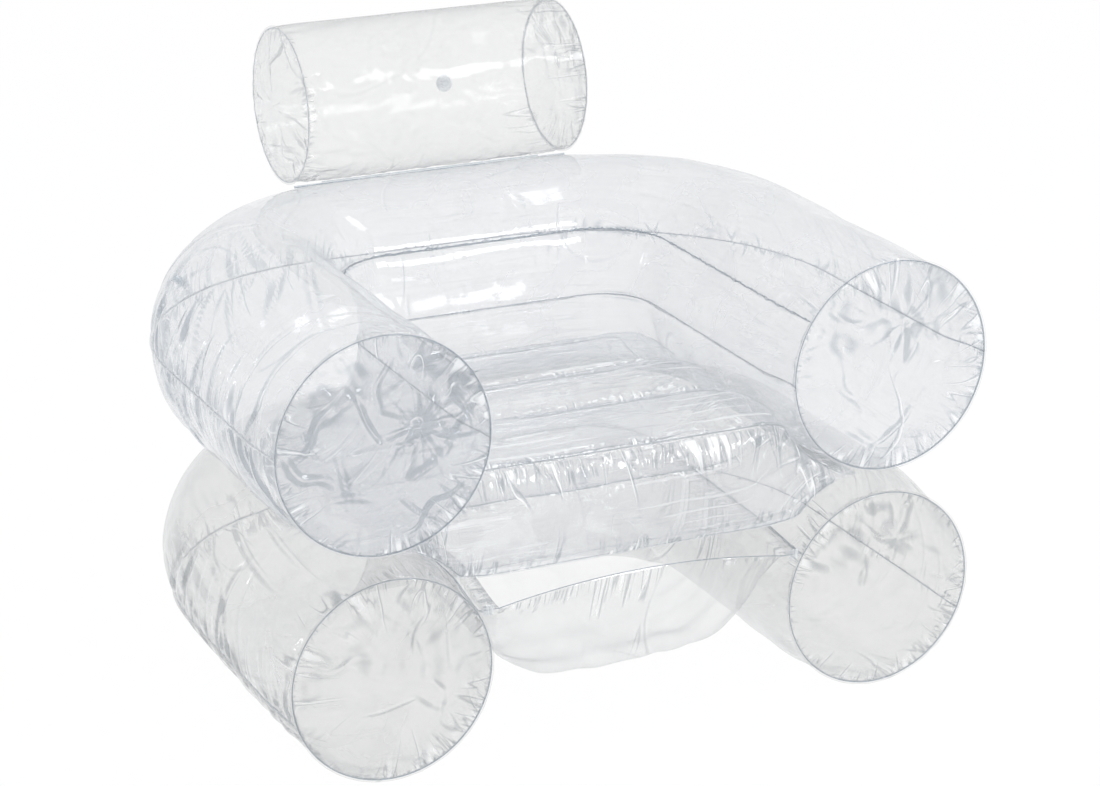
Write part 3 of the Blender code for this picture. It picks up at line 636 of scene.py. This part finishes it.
def makeTubePanel(name, tube, path, first, last, columns, firstLip, lastLip, film, seed):
    radius = (tube["across"] + tube["up"]) / 2
    share = crowded(columns)[None, :]
    a, b = seamAngles(tube, path, first)[:, None], seamAngles(tube, path, last)[:, None]
    angles = mix(a, b, share)
    points, normal, turning = tubeSurface(tube, path, angles)
    fromFirst, fromLast = (angles - a) * radius, (b - angles) * radius
    travel = path["travel"][:, None] + 0 * angles
    along = path["along"][:, None] + 0 * angles
    w = tubeWrinkles
    lively = 1 - w["calm"] * smooth((travel - w["calmFrom"]) / w["calmOver"])
    inner = smooth((np.cos(angles - math.pi) - 0.1) / 0.8) * path["corner"][:, None]
    field = np.zeros_like(angles)
    for distance, salt, lip in ((fromFirst, 1, firstLip), (fromLast, 2, lastLip)):
        part = puckers(travel, distance, path["total"], seed + salt, *w["pucker"])
        field += part * seamGain[lip] * lively
        if lip == "single":
            field += lively * puckers(travel, distance, path["total"], seed + salt + 70, *w["bold"], spread=0.02,
                                      lean=-0.3, broad=w["boldBroad"])
        field -= w["groove"] * np.exp(-distance / w["grooveReach"])
    field *= 1 + w["cornerGain"] * inner
    around = angles * radius
    leftEnd = np.where(travel < path["total"] / 2, around, around + 3)
    span = leftEnd.max() - leftEnd.min()
    field += puckers(leftEnd - leftEnd.min(), along, span, seed + 3, *w["end"])
    field += swells(travel, around, seed + 4) * smooth(np.minimum(fromFirst, fromLast) / 0.05)
    if name in valveDips:
        spot, turn, sink = valveDips[name]
        forth, sideways = travel - spot, (angles - math.radians(turn)) * radius
        field += star(forth, sideways, seed + 11)
        away = np.hypot(forth, sideways)
        field = np.minimum(field, (sink + w["dipRise"]) * smooth((away - w["dipFrom"]) / w["dipOver"]) - sink)
    field *= smooth(along / 0.006)
    # the headrest leans on the top of the back, so nothing stands out there
    underRoll = smooth((along - w["rollFrom"]) / 0.1) * smooth((np.sin(angles) - 0.3) / 0.3)
    field = np.where(underRoll > 0, np.minimum(field, w["rollRise"] * (1 - underRoll)), field)
    points = pressFlat(points + normal * field[..., None], tube)
    steep = np.pad(steepness(field, travel, around)[:, 1:-1], ((0, 0), (3, 3)))
    # weld lips stand off the tube along both seams, a little rippled
    rows = []
    ripple = lipRipple(path["travel"], seed)[:, None]
    for edge, lip, sign in ((0, lips[firstLip], 1), (-1, lips[lastLip], -1)):
        root = points[:, edge] + turning[:, edge] * lips["gap"] * sign
        waved = turning[:, edge] * ripple * lip / lips["double"]
        middle = root + normal[:, edge] * lip / 2 + waved / 2
        outer = root + normal[:, edge] * lip + waved
        points[:, edge] = root
        rows.append([outer, middle])
    points = np.concatenate([np.stack(rows[0], axis=1), points, np.stack(rows[1][::-1], axis=1)], axis=1)
    # the outer weld's puckers reach furthest
    distance = np.minimum(fromFirst * reachShare[firstLip], fromLast * reachShare[lastLip]) / lively ** 1.6
    zero = np.zeros((len(distance), 2))
    distance = np.concatenate([zero, distance, zero], axis=1)
    around = np.concatenate([around[:, :1], around[:, :1], around, around[:, -1:], around[:, -1:]], axis=1)
    travel = path["travel"][:, None] + 0 * around
    uv = np.stack([travel, around], axis=2)
    piece = makeSheet(name, points, uv, distance, film, lambda centre: centre - nearestAxis(path, tube, centre),
                      path["along"][:, None], steep=steep)
    return piece, points


def nearestAxis(path, tube, centre):
    nearest = np.argmin((path["x"] - centre[0]) ** 2 + (path["y"] - centre[1]) ** 2)
    return np.array([path["x"][nearest], path["y"][nearest], tube["height"]])


def makeRings():
    armPath = ringPath(armTube["inset"])
    basePath = ringPath(baseTube["inset"])
    beads = {"arm": [], "base": []}
    rear = []
    # name, solid, tube, path, both seams' degrees round the tube, columns, both welds, film and seed
    panels = [
        ("armTopFilm", "arm_ring_top_panel", armTube, armPath, 0, 148, 48, "single", "double", coolFilm, 11),
        ("armInnerBand", "arm_ring_inner_band", armTube, armPath, 148, 184, 14, "double", "second", coolFilm, 21),
        ("armBottomFilm", "arm_ring_bottom_panel", armTube, armPath, 184, 360, 52, "second", "single",
         coolFilm, 31),
        ("baseTopFilm", "base_ring_top_panel", baseTube, basePath, -22, "baseDouble", 52, "single", "double",
         baseFilm, 41),
        ("baseBottomFilm", "base_ring_bottom_panel", baseTube, basePath, "baseDouble", 338, 56, "double", "single",
         baseFilm, 51),
    ]
    for name, solid, tube, path, first, last, columns, firstLip, lastLip, film, seed in panels:
        piece, points = makeTubePanel(name, tube, path, first, last, columns, firstLip, lastLip, film, seed)
        place(piece, "chair", "clear_film" if film is coolFilm else "warm_clear_film", solid)
        lines = beads["arm" if tube is armTube else "base"]
        for column, lip in ((2, firstLip), (-3, lastLip)):
            line = points[:, column]
            if lip == "single" or tube is baseTube:
                front = int(np.argmax(path["along"] > tubeWrinkles["frontRun"]))
                lines += [line[:front], line[-front:]]
                rear.append(line[front - 1:len(line) - front + 1])
            else:
                lines.append(line)
        if "double" in (firstLip, lastLip):
            lines.append(points[:, 0] if firstLip == "double" else points[:, -1])
        print(name, "made")
    makeBeads("armSeamBeads", beads["arm"], "chair", beadShape["arm"])
    makeBeads("baseSeamBeads", beads["base"], "chair", beadShape["base"])
    makeBeads("rearSeamBeads", rear, "chair", beadShape["rear"])


makeRings()


# a round panel bulges out of a tube's end; its rim puckers
endDisc = dict(rings=60, steps=256, dome=0.014, lip=0.004, pucker=(0.024, 0.04, 0.003))


def makeDisc(name, solid, centre, outward, radius, dome, body, film, slot, seed, gathers=(), folds=3,
             foldDepth=0.004):
    d = endDisc
    half = d["rings"] // 2
    r = np.concatenate([np.linspace(0, 1, half + 1)[:-1] * 0.7, 0.7 + 0.3 * crowded(half, 0.4)]) * radius
    turn = np.arange(d["steps"]) / d["steps"] * 2 * math.pi
    rr, tt = np.meshgrid(r, turn, indexing="ij")
    total = 2 * math.pi * radius
    distance = radius - rr
    across, up = rr * np.cos(tt), rr * np.sin(tt)
    field = puckers(tt * radius, distance, total, seed, *d["pucker"], closed=True)
    for u, v, depth in gathers:
        field += star(across - u, up - v, seed + 5, reach=0.055, depth=depth, arms=11)
    field += crumples(across, up, seed + 7, folds, radius * 0.8, depth=foldDepth)
    upper = 0.45 + 0.9 * smooth(up / radius + 0.4)
    field += swells(across, up, seed + 1, size=0.07, depth=0.0032) * smooth(distance / 0.03) * upper
    field *= smooth(distance / 0.004) * smooth(rr / 0.02)
    height = dome * (1 - (rr / radius) ** 2) ** 0.85 + field
    steep = np.pad(steepness(field, rr, rr * tt)[:-2], ((0, 4), (0, 0)))
    lipRadius = np.array([0.5, 1.0])[:, None] * d["lip"] + radius + 0 * turn[None, :]
    rr = np.concatenate([rr, lipRadius])
    ripple = lipRipple(turn * radius, seed + 2, depth=0.0006)
    height = np.concatenate([height, np.stack([ripple / 2, ripple])])
    tt = np.concatenate([tt, tt[:2]])
    frameZ = Vector(outward)
    frameX = Vector((1, 0, 0)) if abs(frameZ.x) < 0.5 else Vector((0, 1, 0))
    frameY = frameZ.cross(frameX)
    basis = np.array([frameX, frameY, frameZ])
    points = np.stack([rr * np.cos(tt), rr * np.sin(tt), height], axis=2) @ basis + np.array(centre)
    distance = np.concatenate([distance, 0 * lipRadius])
    uv = np.stack([tt * radius, rr], axis=2)
    piece = makeSheet(name, points, uv, distance, film, towards(*outward), wrapLength=total, steep=steep)
    place(piece, body, slot, solid)
    rim = points[-3]
    return [np.concatenate([rim, rim[:1]])]


# star gathers as places and depths, then the count and the depth of the folded creases
discFolds = dict(armLeft=([(0.05, 0.03, 0.007)], 20, 0.0065), armRight=([(0.02, 0.07, 0.004)], 8, 0.004),
                 baseLeft=([(0.03, 0.08, 0.002)], 4, 0.003), baseRight=([(0.03, 0.08, 0.002)], 4, 0.003))


def makeFrontDiscs():
    lines = []
    for side, sign in (("Left", -1), ("Right", 1)):
        for level, tube, film, slot in (("arm", armTube, coolDiscFilm, "clear_film"),
                                        ("base", baseTube, baseDiscFilm, "warm_clear_film")):
            centre = (sign * (plan["halfWidth"] - tube["inset"]), plan["frontY"], tube["discHeight"])
            seed = 60 + sign * 3 + int(tube["disc"] * 1000)
            lines += makeDisc(level + "FrontDisc" + side, "%s_front_disc_%s" % (level, side.lower()), centre,
                              (0, -1, 0), tube["disc"], endDisc["dome"], "chair", film, slot, seed,
                              *discFolds[level + side])
    makeBeads("frontDiscBeads", lines, "chair", beadShape["frontDisc"])
    print("front discs made")


makeFrontDiscs()

# the seat is a wedge of air between the rings, sewn into channels by upright films
seat = dict(frontY=-0.4284, grooves=(-0.4284, -0.2284, -0.0794, 0.0756), bottomFrontY=-0.4514,
            edgeInset=0.067, lipInset=0.03, groove=0.44, crown=0.022, front=0.447, bottomGroove=0.306, belly=0.01,
            frontBottom=0.287, bulge=0.034, clearance=0.005, sideShare=0.62, endRise=0.004, baffleHalf=0.225,
            baffleGap=0.0009, columns=128, rowStep=0.0055, frontRows=34, offset=0.0004, weldGap=1.7, frontLean=50,
            groovePuckers=(0.021, 0.03, 0.002), sidePuckers=(0.03, 0.08, 0.003),
            frontPuckers=(0.0105, 0.038, 0.004))


def insideArmPath(x, y):
    straight = plan["halfWidth"] - np.abs(x)
    back = plan["backY"] - y
    corner = plan["cornerRadius"] - np.hypot(np.abs(x) - cornerX, y - cornerY)
    return np.where(y <= cornerY, straight, np.where(np.abs(x) <= cornerX, back, corner))


def armUnderside(x, y, clearance):
    share = np.minimum(1, np.abs(insideArmPath(x, y)) / (armTube["across"] + clearance))
    return armTube["height"] - (armTube["up"] + clearance) * np.sqrt(1 - share * share)


def baseTopside(x, y, clearance):
    share = np.minimum(1, np.abs(insideArmPath(x, y) - plan["baseInset"]) / (baseTube["across"] + clearance))
    return baseTube["height"] + (baseTube["up"] + clearance) * np.sqrt(1 - share * share)


def outlineHalf(inset, y):
    radius = plan["cornerRadius"] - inset
    curved = cornerX + np.sqrt(np.maximum(0, radius * radius - np.maximum(0, y - cornerY) ** 2))
    return np.where(y <= cornerY, plan["halfWidth"] - inset, curved)


def edgeShare(share):
    beyond = np.clip((np.abs(share) - seat["sideShare"]) / (1 - seat["sideShare"]), 0, 1)
    return 1 - np.sqrt(1 - beyond * beyond)


def channelShare(y):
    field = np.zeros_like(y)
    for first, second in zip(seat["grooves"], seat["grooves"][1:]):
        part = np.clip((y - first) / (second - first), 0, 1)
        field = np.maximum(field, np.sqrt(4 * part * (1 - part)))
    return field


seatRearY = cornerY + plan["cornerRadius"] - seat["edgeInset"]
seatLipX = plan["halfWidth"] - seat["lipInset"]
seatLipHeight = float(baseTopside(np.array(seatLipX), np.array(plan["frontY"]), 0)) + 0.0009


def seatHeight(x, y, share, top):
    channel = channelShare(y) * (1 - edgeShare(share))
    front = smooth((seat["grooves"][1] - y) / (seat["grooves"][1] - seat["frontY"]))
    last = seat["grooves"][-1]
    rear = edgeShare(mix(seat["sideShare"], 1, np.clip((y - last) / (seatRearY - last), 0, 1)))
    if top:
        edge = seatLipHeight + seat["endRise"]
        height = mix(seat["groove"], seat["front"], front) + channel * seat["crown"]
        height = mix(height, edge, np.maximum(edgeShare(share), rear))
        return np.maximum(edge, np.minimum(height, armUnderside(x, y, seat["clearance"])))
    edge = seatLipHeight - seat["endRise"]
    height = mix(seat["bottomGroove"], seat["frontBottom"], front) - channel * seat["belly"]
    height = mix(height, edge, np.maximum(edgeShare(share), rear))
    return np.minimum(edge, np.maximum(height, baseTopside(x, y, seat["clearance"])))


def seatGrid(top):
    starts = (seat["frontY"] if top else seat["bottomFrontY"],) + seat["grooves"][1:] + (seatRearY,)
    ys = []
    for first, second in zip(starts, starts[1:]):
        ys.append(mix(first, second, crowded(int((second - first) / seat["rowStep"]), 0.7))[:-1])
    ys = np.concatenate(ys + [[seatRearY]])
    shares = mix(-1, 1, crowded(seat["columns"], 0.5))
    y, share = np.meshgrid(ys, shares, indexing="ij")
    half = outlineHalf(seat["edgeInset"], y)
    x = share * half
    z = seatHeight(x, y, share, top)
    sign = 1 if top else -1
    seed = 201 if top else 231
    field = np.zeros_like(x)
    for number, groove in enumerate(seat["grooves"]):
        for side in (-1, 1):
            distance = (y - groove) * side
            inside = distance >= 0
            part = puckers(x + 0.5, np.abs(distance), 1.0, seed + 2 * number + side,
                           *seat["groovePuckers"])
            field += np.where(inside, part, 0)
    fromSide = half - np.abs(x)
    for side in (-1, 1):
        part = puckers(y + 0.6, fromSide, 1.0, seed + 20 + side, *seat["sidePuckers"])
        field += np.where(x * side > 0, part, 0)
    field += swells(x, y, seed + 30, size=0.1, depth=0.001)
    fade = smooth(fromSide / 0.02) * smooth((seatRearY - y) / 0.03) * smooth(np.abs(y - ys[0]) / 0.004)
    z = z + sign * field * fade
    steep = steepness(field * fade, y, x)
    points = np.stack([x, y, z], axis=2)
    distance = 4 * np.min([np.abs(y - groove) for groove in seat["grooves"]], axis=0)
    # the side and rear lips lie between the two rings
    outer = outlineHalf(seat["lipInset"], ys)
    lip = np.full_like(ys, seatLipHeight + sign * seat["offset"])
    left = np.stack([-outer, ys, lip], axis=1)[:, None]
    right = np.stack([outer, ys, lip], axis=1)[:, None]
    points = np.concatenate([left, points, right], axis=1)
    zero = np.zeros((len(ys), 1))
    distance = np.concatenate([distance[:, :1], distance, distance[:, -1:]], axis=1)
    fromSide = np.concatenate([zero, np.minimum(fromSide, seatRearY - y), zero], axis=1)
    rearLip = points[-1].copy()
    rearLip[:, 1] = cornerY + plan["cornerRadius"] - seat["lipInset"]
    rearLip[:, 2] = seatLipHeight + sign * seat["offset"]
    points = np.concatenate([points, rearLip[None]], axis=0)
    distance = np.concatenate([distance, distance[-1:]], axis=0)
    fromSide = np.concatenate([fromSide, 0 * fromSide[:1]], axis=0)
    return points, distance, fromSide, np.pad(steep, 1)


def makeSeat():
    lines = []
    welds = []
    frontLean = math.radians(seat["frontLean"])
    gap = seat["offset"] * seat["weldGap"]
    sheets = ((True, "seatTopFilm", "seat_top_panel"), (False, "seatBottomFilm", "seat_bottom_panel"))
    for top, name, solid in sheets:
        points, distance, fromSide, steep = seatGrid(top)
        sign = 1 if top else -1
        weld = points[0].copy()
        side = np.array([0, math.sin(frontLean), sign * math.cos(frontLean)])
        away = np.array([0, -math.cos(frontLean), sign * math.sin(frontLean)])
        root = weld + side * gap
        points = np.concatenate([(root + away * lips["second"])[None], root[None], points[1:]], axis=0)
        distance = np.concatenate([0 * distance[:1], 0 * distance[:1], distance[1:]], axis=0)
        fromSide = np.concatenate([fromSide[:1], fromSide], axis=0)
        uv = points[..., :2].copy()
        up = np.array([0, 0, sign])
        piece = makeSheet(name, points, uv, distance, seatFilm, towards(0, 0, sign), fromSide, steep=steep)
        place(piece, "chair", "clear_film", solid)
        welds.append((weld[1:-1] - side * gap, away))
        lines += [root[1:-1]]
        grooves = seat["grooves"][1:]
        for groove in grooves:
            row = 2 + int(np.argmin(np.abs(points[2:-1, 40, 1] - groove)))
            columns = np.abs(points[row, :, 0]) < seat["baffleHalf"] * 1.25
            lines.append(points[row, columns] + up * 0.0006)
    (topWeld, topAway), (bottomWeld, bottomAway) = welds
    finer = np.linspace(0, len(topWeld) - 1, 3 * len(topWeld))
    topWeld, bottomWeld = [np.stack([np.interp(finer, np.arange(len(weld)), weld[:, k]) for k in range(3)], axis=1)
                           for weld in (topWeld, bottomWeld)]
    part = crowded(seat["frontRows"], 0.5)[:, None]
    x = topWeld[:, 0][None, :]
    share = np.abs(x) / (plan["halfWidth"] - seat["edgeInset"])
    bulge = seat["bulge"] * np.sqrt(np.maximum(0, 1 - edgeShare(share) ** 2)) * (1 - share ** 8)
    y = mix(topWeld[:, 1][None, :], bottomWeld[:, 1][None, :], part)
    z = mix(topWeld[:, 2][None, :], bottomWeld[:, 2][None, :], part)
    tall = topWeld[:, 2][None, :] - bottomWeld[:, 2][None, :]
    field = np.zeros_like(z)
    for distance, salt in ((part * tall, 1), ((1 - part) * tall, 2)):
        field += puckers(x + 0.5 + 0 * part, distance, 1.0, 260 + salt, *seat["frontPuckers"], spread=0.05)
    field += swells(x + 0 * z, z, 266, size=0.12, depth=0.0015) * smooth(4 * part * (1 - part))
    out = bulge * np.sqrt(4 * part * (1 - part))
    y = y - np.maximum(0, out + field * smooth(np.minimum(part, 1 - part) / 0.05) * smooth(bulge / 0.02))
    steep = np.pad(steepness(field, part * tall, x + 0 * z), ((1, 1), (0, 0)))
    points = np.stack([x + 0 * z, y, z], axis=2)
    above = topWeld + topAway * lips["second"]
    below = bottomWeld + bottomAway * lips["second"]
    points = np.concatenate([above[None], points, below[None]], axis=0)
    distance = np.concatenate([0 * share, np.minimum(part * tall, 2.5 * (1 - part) * tall), 0 * share], axis=0)
    uv = points[..., [0, 2]].copy()
    piece = makeSheet("seatFrontFilm", points, uv, distance, seatFrontFilm, towards(0, -1, 0), steep=steep * 0.6)
    place(piece, "chair", "clear_film", "seat_front_panel")
    makeBeads("seatSeamBeads", lines, "chair", beadShape["seat"])
    for number, groove in enumerate(seat["grooves"][1:], 1):
        half = float(outlineHalf(seat["edgeInset"], np.array(groove)))
        xs = np.linspace(-seat["baffleHalf"], seat["baffleHalf"], 60)
        part = np.linspace(0, 1, 16)[:, None]
        y = np.full_like(xs, groove)
        top = seatHeight(xs, y, xs / half, True) - seat["baffleGap"]
        bottom = seatHeight(xs, y, xs / half, False) + seat["baffleGap"]
        x, z = xs[None, :] + 0 * part, mix(top, bottom, part)
        ripple = swells(x, z, 280 + number, size=0.09, depth=0.0022) * smooth(4 * part * (1 - part))
        points = np.stack([x, groove + ripple, z], axis=2)
        piece = makeSheet("seatBaffleFilm%d" % number, points, points[..., [0, 2]].copy(), None, seatFrontFilm,
                          towards(0, -1, 0), thickness=0.0005)
        place(piece, "chair", "clear_film", "seat_baffle_%d" % number)
    print("seat made")


makeSeat()

# the loose web hangs between the base tubes and bellies down
web = dict(clearance=0.0008, sag=0.19, sideInset=0.0275, hemRise=0.022, hemShare=0.17, fallPower=1.6, rows=110,
           columns=120, sidePuckers=(0.03, 0.16, 0.007), hemPuckers=(0.03, 0.1, 0.005))


def makeWeb():
    path = ringPath(baseTube["inset"])
    angles = seamAngles(baseTube, path, "baseDouble")[:, None]
    points, normal = tubeSurface(baseTube, path, angles)[:2]
    edge = (points + normal * (lips["double"] + 0.00025 + web["clearance"]))[:, 0]
    half = len(edge) // 2 + 1
    edge = edge[:half]
    use = np.concatenate([[True], np.diff(edge[:, 1]) > 1e-7])
    edge = edge[use]
    rearY = edge[-1, 1]
    share = crowded(web["rows"], 0.4)[:, None]
    y = mix(edge[0, 1], rearY, share)
    edgeX = np.interp(y, edge[:, 1], np.abs(edge[:, 0]))
    edgeZ = np.interp(y, edge[:, 1], edge[:, 2])
    hem = np.clip(share / web["hemShare"], 0, 1)
    behind = np.clip((share - web["hemShare"]) / (1 - web["hemShare"]), 0, 1)
    drop = web["sag"] * np.sin(math.pi / 2 * hem) * np.cos(math.pi / 2 * behind ** web["fallPower"])
    rise = web["hemRise"] * (1 - smooth(hem))
    part = np.sin(np.linspace(-math.pi / 2, math.pi / 2, web["columns"] + 1))[None, :]
    arch = (1 - np.abs(part) ** 4) ** 0.4
    x = part * (edgeX - web["sideInset"])
    z = edgeZ - drop * arch + rise * (1 - part * part)
    y = y + 0 * part
    fold = puckers(y + 0.6, (1 - np.abs(part)) * 0.3 + 0.01, 1.0, 301, *web["sidePuckers"]) * smooth(drop / 0.08)
    fold += puckers(x + 0.5, y - edge[0, 1], 1.0, 303, *web["hemPuckers"])
    fold += swells(x, y, 305, size=0.14, depth=0.003)
    inside = smooth((1 - np.abs(part)) / 0.08) * smooth((y - edge[0, 1]) / 0.01) * smooth((rearY - y) / 0.03)
    z = z - fold * inside
    points = np.stack([x, y, z], axis=2)
    left = np.stack([-edgeX, y[:, :1], edgeZ], axis=2)
    right = np.stack([edgeX, y[:, :1], edgeZ], axis=2)
    points = np.concatenate([left, points, right], axis=1)
    fromSide = np.concatenate([0 * share, (1 - np.abs(part)) * 0.25 + 0.01 + 0 * share, 0 * share], axis=1)
    piece = makeSheet("webFilm", points, points[..., :2].copy(), points[..., 1] - edge[0, 1] + 0.0005, webFilm,
                      towards(0, 0, -1), fromSide)
    place(piece, "chair", "warm_clear_film", "base_web")
    across = np.linalg.norm(np.diff(points[40], axis=0), axis=1).sum()
    deep = np.linalg.norm(np.diff(points[:, 61], axis=0), axis=1).sum()
    print("web measures", round(float(across), 3), "across and", round(float(deep), 3), "front to back")
    makeBeads("webHemBeads", [points[0]], "chair", beadShape["hem"])
    for side, sign in (("left", -1), ("right", 1)):
        low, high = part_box("web_tab_" + side)
        xs = np.linspace(low.x, high.x, 10)[None, :]
        zs = np.linspace(low.z, high.z, 9)[:, None]
        middle = (low.y + high.y) / 2
        y = middle - 0.0004 * np.sin(xs * 1500) * np.sin(zs * 1500)
        points = np.stack([xs + 0 * zs, y, zs + 0 * xs], axis=2)
        tab = makeSheet("webTab" + side.capitalize(), points, points[..., [0, 2]].copy(), 0.003, weldFilm,
                        towards(0, -1, 0), thickness=0.0008)
        place(tab, "chair", "weld_tab", "web_tab_" + side)
    print("web made")


makeWeb()

# the headrest roll tilts on the weld between its tab and the back's tab
headrest = dict(half=0.2528, radius=0.1332, discRadius=0.1295, neckShare=0.8, dome=0.016, lean=20.2, flange=0.006,
                pivot=(0, 0.316204, 0.700154), tabHalf=0.2, backTabHalf=0.25, rows=96, columns=168,
                endPuckers=(0.017, 0.05, 0.0034), weldPuckers=(0.02, 0.06, 0.003), valveAcross=0.101,
                valveTurn=97.5, tabGap=0.0008, tabStart=0.0002)


def makeHeadrest():
    h = headrest
    lean = np.array([0, math.sin(math.radians(h["lean"])), math.cos(math.radians(h["lean"]))])
    pivot = np.array(h["pivot"])
    centre = pivot + lean * (h["flange"] / 2 + h["radius"])
    x = mix(-h["half"] + 0.0006, h["half"] - 0.0006, crowded(h["rows"], 0.6))[:, None]
    turn = (np.arange(h["columns"]) / h["columns"] * 2 * math.pi)[None, :]
    end = h["half"] - np.abs(x)
    neck = h["half"] * (1 - h["neckShare"])
    radius = mix(h["discRadius"], h["radius"], np.sqrt(np.clip(1 - (1 - np.clip(end / neck, 0, 1)) ** 2, 0, 1)))
    total = 2 * math.pi * h["radius"]
    field = np.zeros((x.shape[0], turn.shape[1]))
    for side in (-1, 1):
        part = puckers(turn * h["radius"] + 0 * x, end + 0 * turn, total, 400 + side, *h["endPuckers"],
                       closed=True)
        field += np.where(x * side > 0, part, 0)
    fromWeld = np.abs((turn + math.pi) % (2 * math.pi) - math.pi) * h["radius"]
    field += puckers(x + 0.3 + 0 * turn, fromWeld + 0 * x, 0.6, 411, *h["weldPuckers"])
    field -= 0.002 * np.exp(-fromWeld / 0.01)
    calm = smooth(end / 0.05) * smooth((total / 2 - fromWeld) / 0.05)
    field += swells(x + 0 * turn, turn * h["radius"] + 0 * x, 413, size=0.14, depth=0.0013) * calm
    valveSide = (turn - math.radians(h["valveTurn"])) * h["radius"]
    field += star(x - h["valveAcross"] + 0 * turn, valveSide + 0 * x, 417)
    field = np.minimum(field, 0.004 * smooth((fromWeld - 0.08) / 0.08)) * smooth(end / 0.005)
    radius = radius + field
    down = -lean
    across = np.cross([1.0, 0, 0], down)
    points = np.stack([x + 0 * turn, 0 * x + 0 * turn, 0 * x + 0 * turn], axis=2) + centre
    points = points + (radius * np.cos(turn))[..., None] * down + (radius * np.sin(turn))[..., None] * across
    uv = np.stack([turn * h["radius"] + 0 * x, x + 0 * turn], axis=2)
    away = np.array([0, 1, 1])
    piece = makeSheet("headrestFilm", points, uv, end + 0 * turn, rollFilm, lambda spot: (spot - centre) * away,
                      fromWeld + 0.004, total)
    place(piece, "headrest", "warm_clear_film", "headrest_barrel")
    lines = []
    for side, sign in (("Left", -1), ("Right", 1)):
        spot = centre + np.array([sign * h["half"], 0, 0])
        lines += makeDisc("headrestDisc" + side, "headrest_disc_" + side.lower(), spot, (sign, 0, 0),
                          h["discRadius"], h["dome"], "headrest", warmDiscFilm, "warm_clear_film", 440 + sign)
    makeBeads("headrestBeads", lines, "headrest", beadShape["headrest"])
    for name, solid, body, half, sign in (
            ("headrestWeldTab", "headrest_weld_tab", "headrest", h["tabHalf"], 1),
            ("backWeldTab", "back_weld_tab", "chair", h["backTabHalf"], -1)):
        xs = np.linspace(-half, half, 120)[None, :]
        reach = sign * np.linspace(h["tabStart"], h["flange"] / 2 - h["tabGap"], 4)[:, None]
        drop = np.maximum(0, np.abs(xs) - cornerX)
        drop = (plan["cornerRadius"] - np.sqrt(plan["cornerRadius"] ** 2 - drop ** 2)) * lean[1] / 2
        if body == "headrest":
            drop = 0 * drop
        share = np.linspace(0, 1, 4)[:, None]
        ripple = lipRipple(xs, 470, depth=0.0001) * 4 * share * (1 - share)
        points = np.zeros((4, 120, 3)) + pivot
        points[..., 0] = xs
        points = points + (reach - drop * share)[..., None] * lean
        points[..., 1] += ripple * math.cos(math.radians(h["lean"]))
        tab = makeSheet(name, points, points[..., [0, 2]].copy(), 0.002, rollTabFilm,
                        towards(0, -1, 0), thickness=0.001)
        place(tab, body, "weld_tab", solid)
        if body == "chair":
            makeBeads("backTabBead", [points[2] + np.array([0, -0.0008, 0])], body, beadShape["backTab"])
    print("headrest made")


makeHeadrest()

# push valves: a flanged stem welded into the film, a plug on it and a flap inside
valve = dict(steps=48, sharpAngle=35, weldDistance=0.05)
# half outlines as radius and height over the film
valveProfiles = dict(
    stem=[(0.004, 0.0136), (0.0064, 0.0136), (0.0068, 0.0132), (0.0068, 0.0022), (0.0076, 0.0017),
          (0.0135, 0.0014), (0.0149, 0.0011), (0.0150, 0.0006), (0.0068, 0.0006), (0.0066, -0.007),
          (0.004, -0.007), (0.004, 0.0136)],
    flap=[(0, -0.0073), (0.0060, -0.0073), (0.0062, -0.0075), (0.0060, -0.0078), (0, -0.0078)],
    plug=[(0, 0.0169), (0.0075, 0.0169), (0.0084, 0.0163), (0.0085, 0.0144), (0.0082, 0.0139), (0.0036, 0.0139),
          (0.0036, 0.0062), (0.0028, 0.005), (0, 0.005)])
valveSpots = dict(arms=((-0.54285, 0.05313, 0.64779), (-0.77124, 0.12215, 0.62472), "chair"),
                  base=((-0.34376, 0.34052, 0.25936), (-0.39961, 0.78427, 0.47458), "chair"),
                  seat=((0.063, -0.1539, 0.29646), (0, 0, -1), "chair"),
                  headrest=((0.10112, 0.49206, 0.79894), (0, 0.97553, -0.21985), "headrest"))


def turnedPiece(name, profile, spot, aim, film):
    form = bmesh.new()
    points = [form.verts.new((radius, 0, height)) for radius, height in profile]
    edges = [form.edges.new(pair) for pair in zip(points, points[1:])]
    bmesh.ops.spin(form, geom=points + edges, angle=2 * math.pi, steps=valve["steps"], axis=(0, 0, 1),
                   cent=(0, 0, 0))
    bmesh.ops.remove_doubles(form, verts=form.verts, dist=1e-6)
    bmesh.ops.recalc_face_normals(form, faces=form.faces)
    turn = Vector(aim).to_track_quat("Z", "Y").to_matrix().to_4x4()
    bmesh.ops.transform(form, matrix=Matrix.Translation(spot) @ turn, verts=form.verts)
    mesh = bpy.data.meshes.new(name)
    form.to_mesh(mesh)
    form.free()
    mesh.uv_layers.new(name="along")
    mark = mesh.attributes.new("weldDistance", "FLOAT", "POINT")
    mark.data.foreach_set("value", np.full(len(mesh.vertices), valve["weldDistance"], np.float32))
    mesh.shade_smooth()
    mesh.set_sharp_from_angle(angle=math.radians(valve["sharpAngle"]))
    mesh.materials.append(film)
    piece = addObject(name, mesh)
    return piece


def makeValves():
    for name, (spot, aim, body) in valveSpots.items():
        for part, profile in valveProfiles.items():
            piece = turnedPiece("valve" + part.capitalize() + name.capitalize(), profile, spot, aim, valveVinyl)
            rider = name + "_plug" if part == "plug" else body
            place(piece, rider, "valve_vinyl", "valve_%s_%s" % (part, name))
    print("valves made")


makeValves()
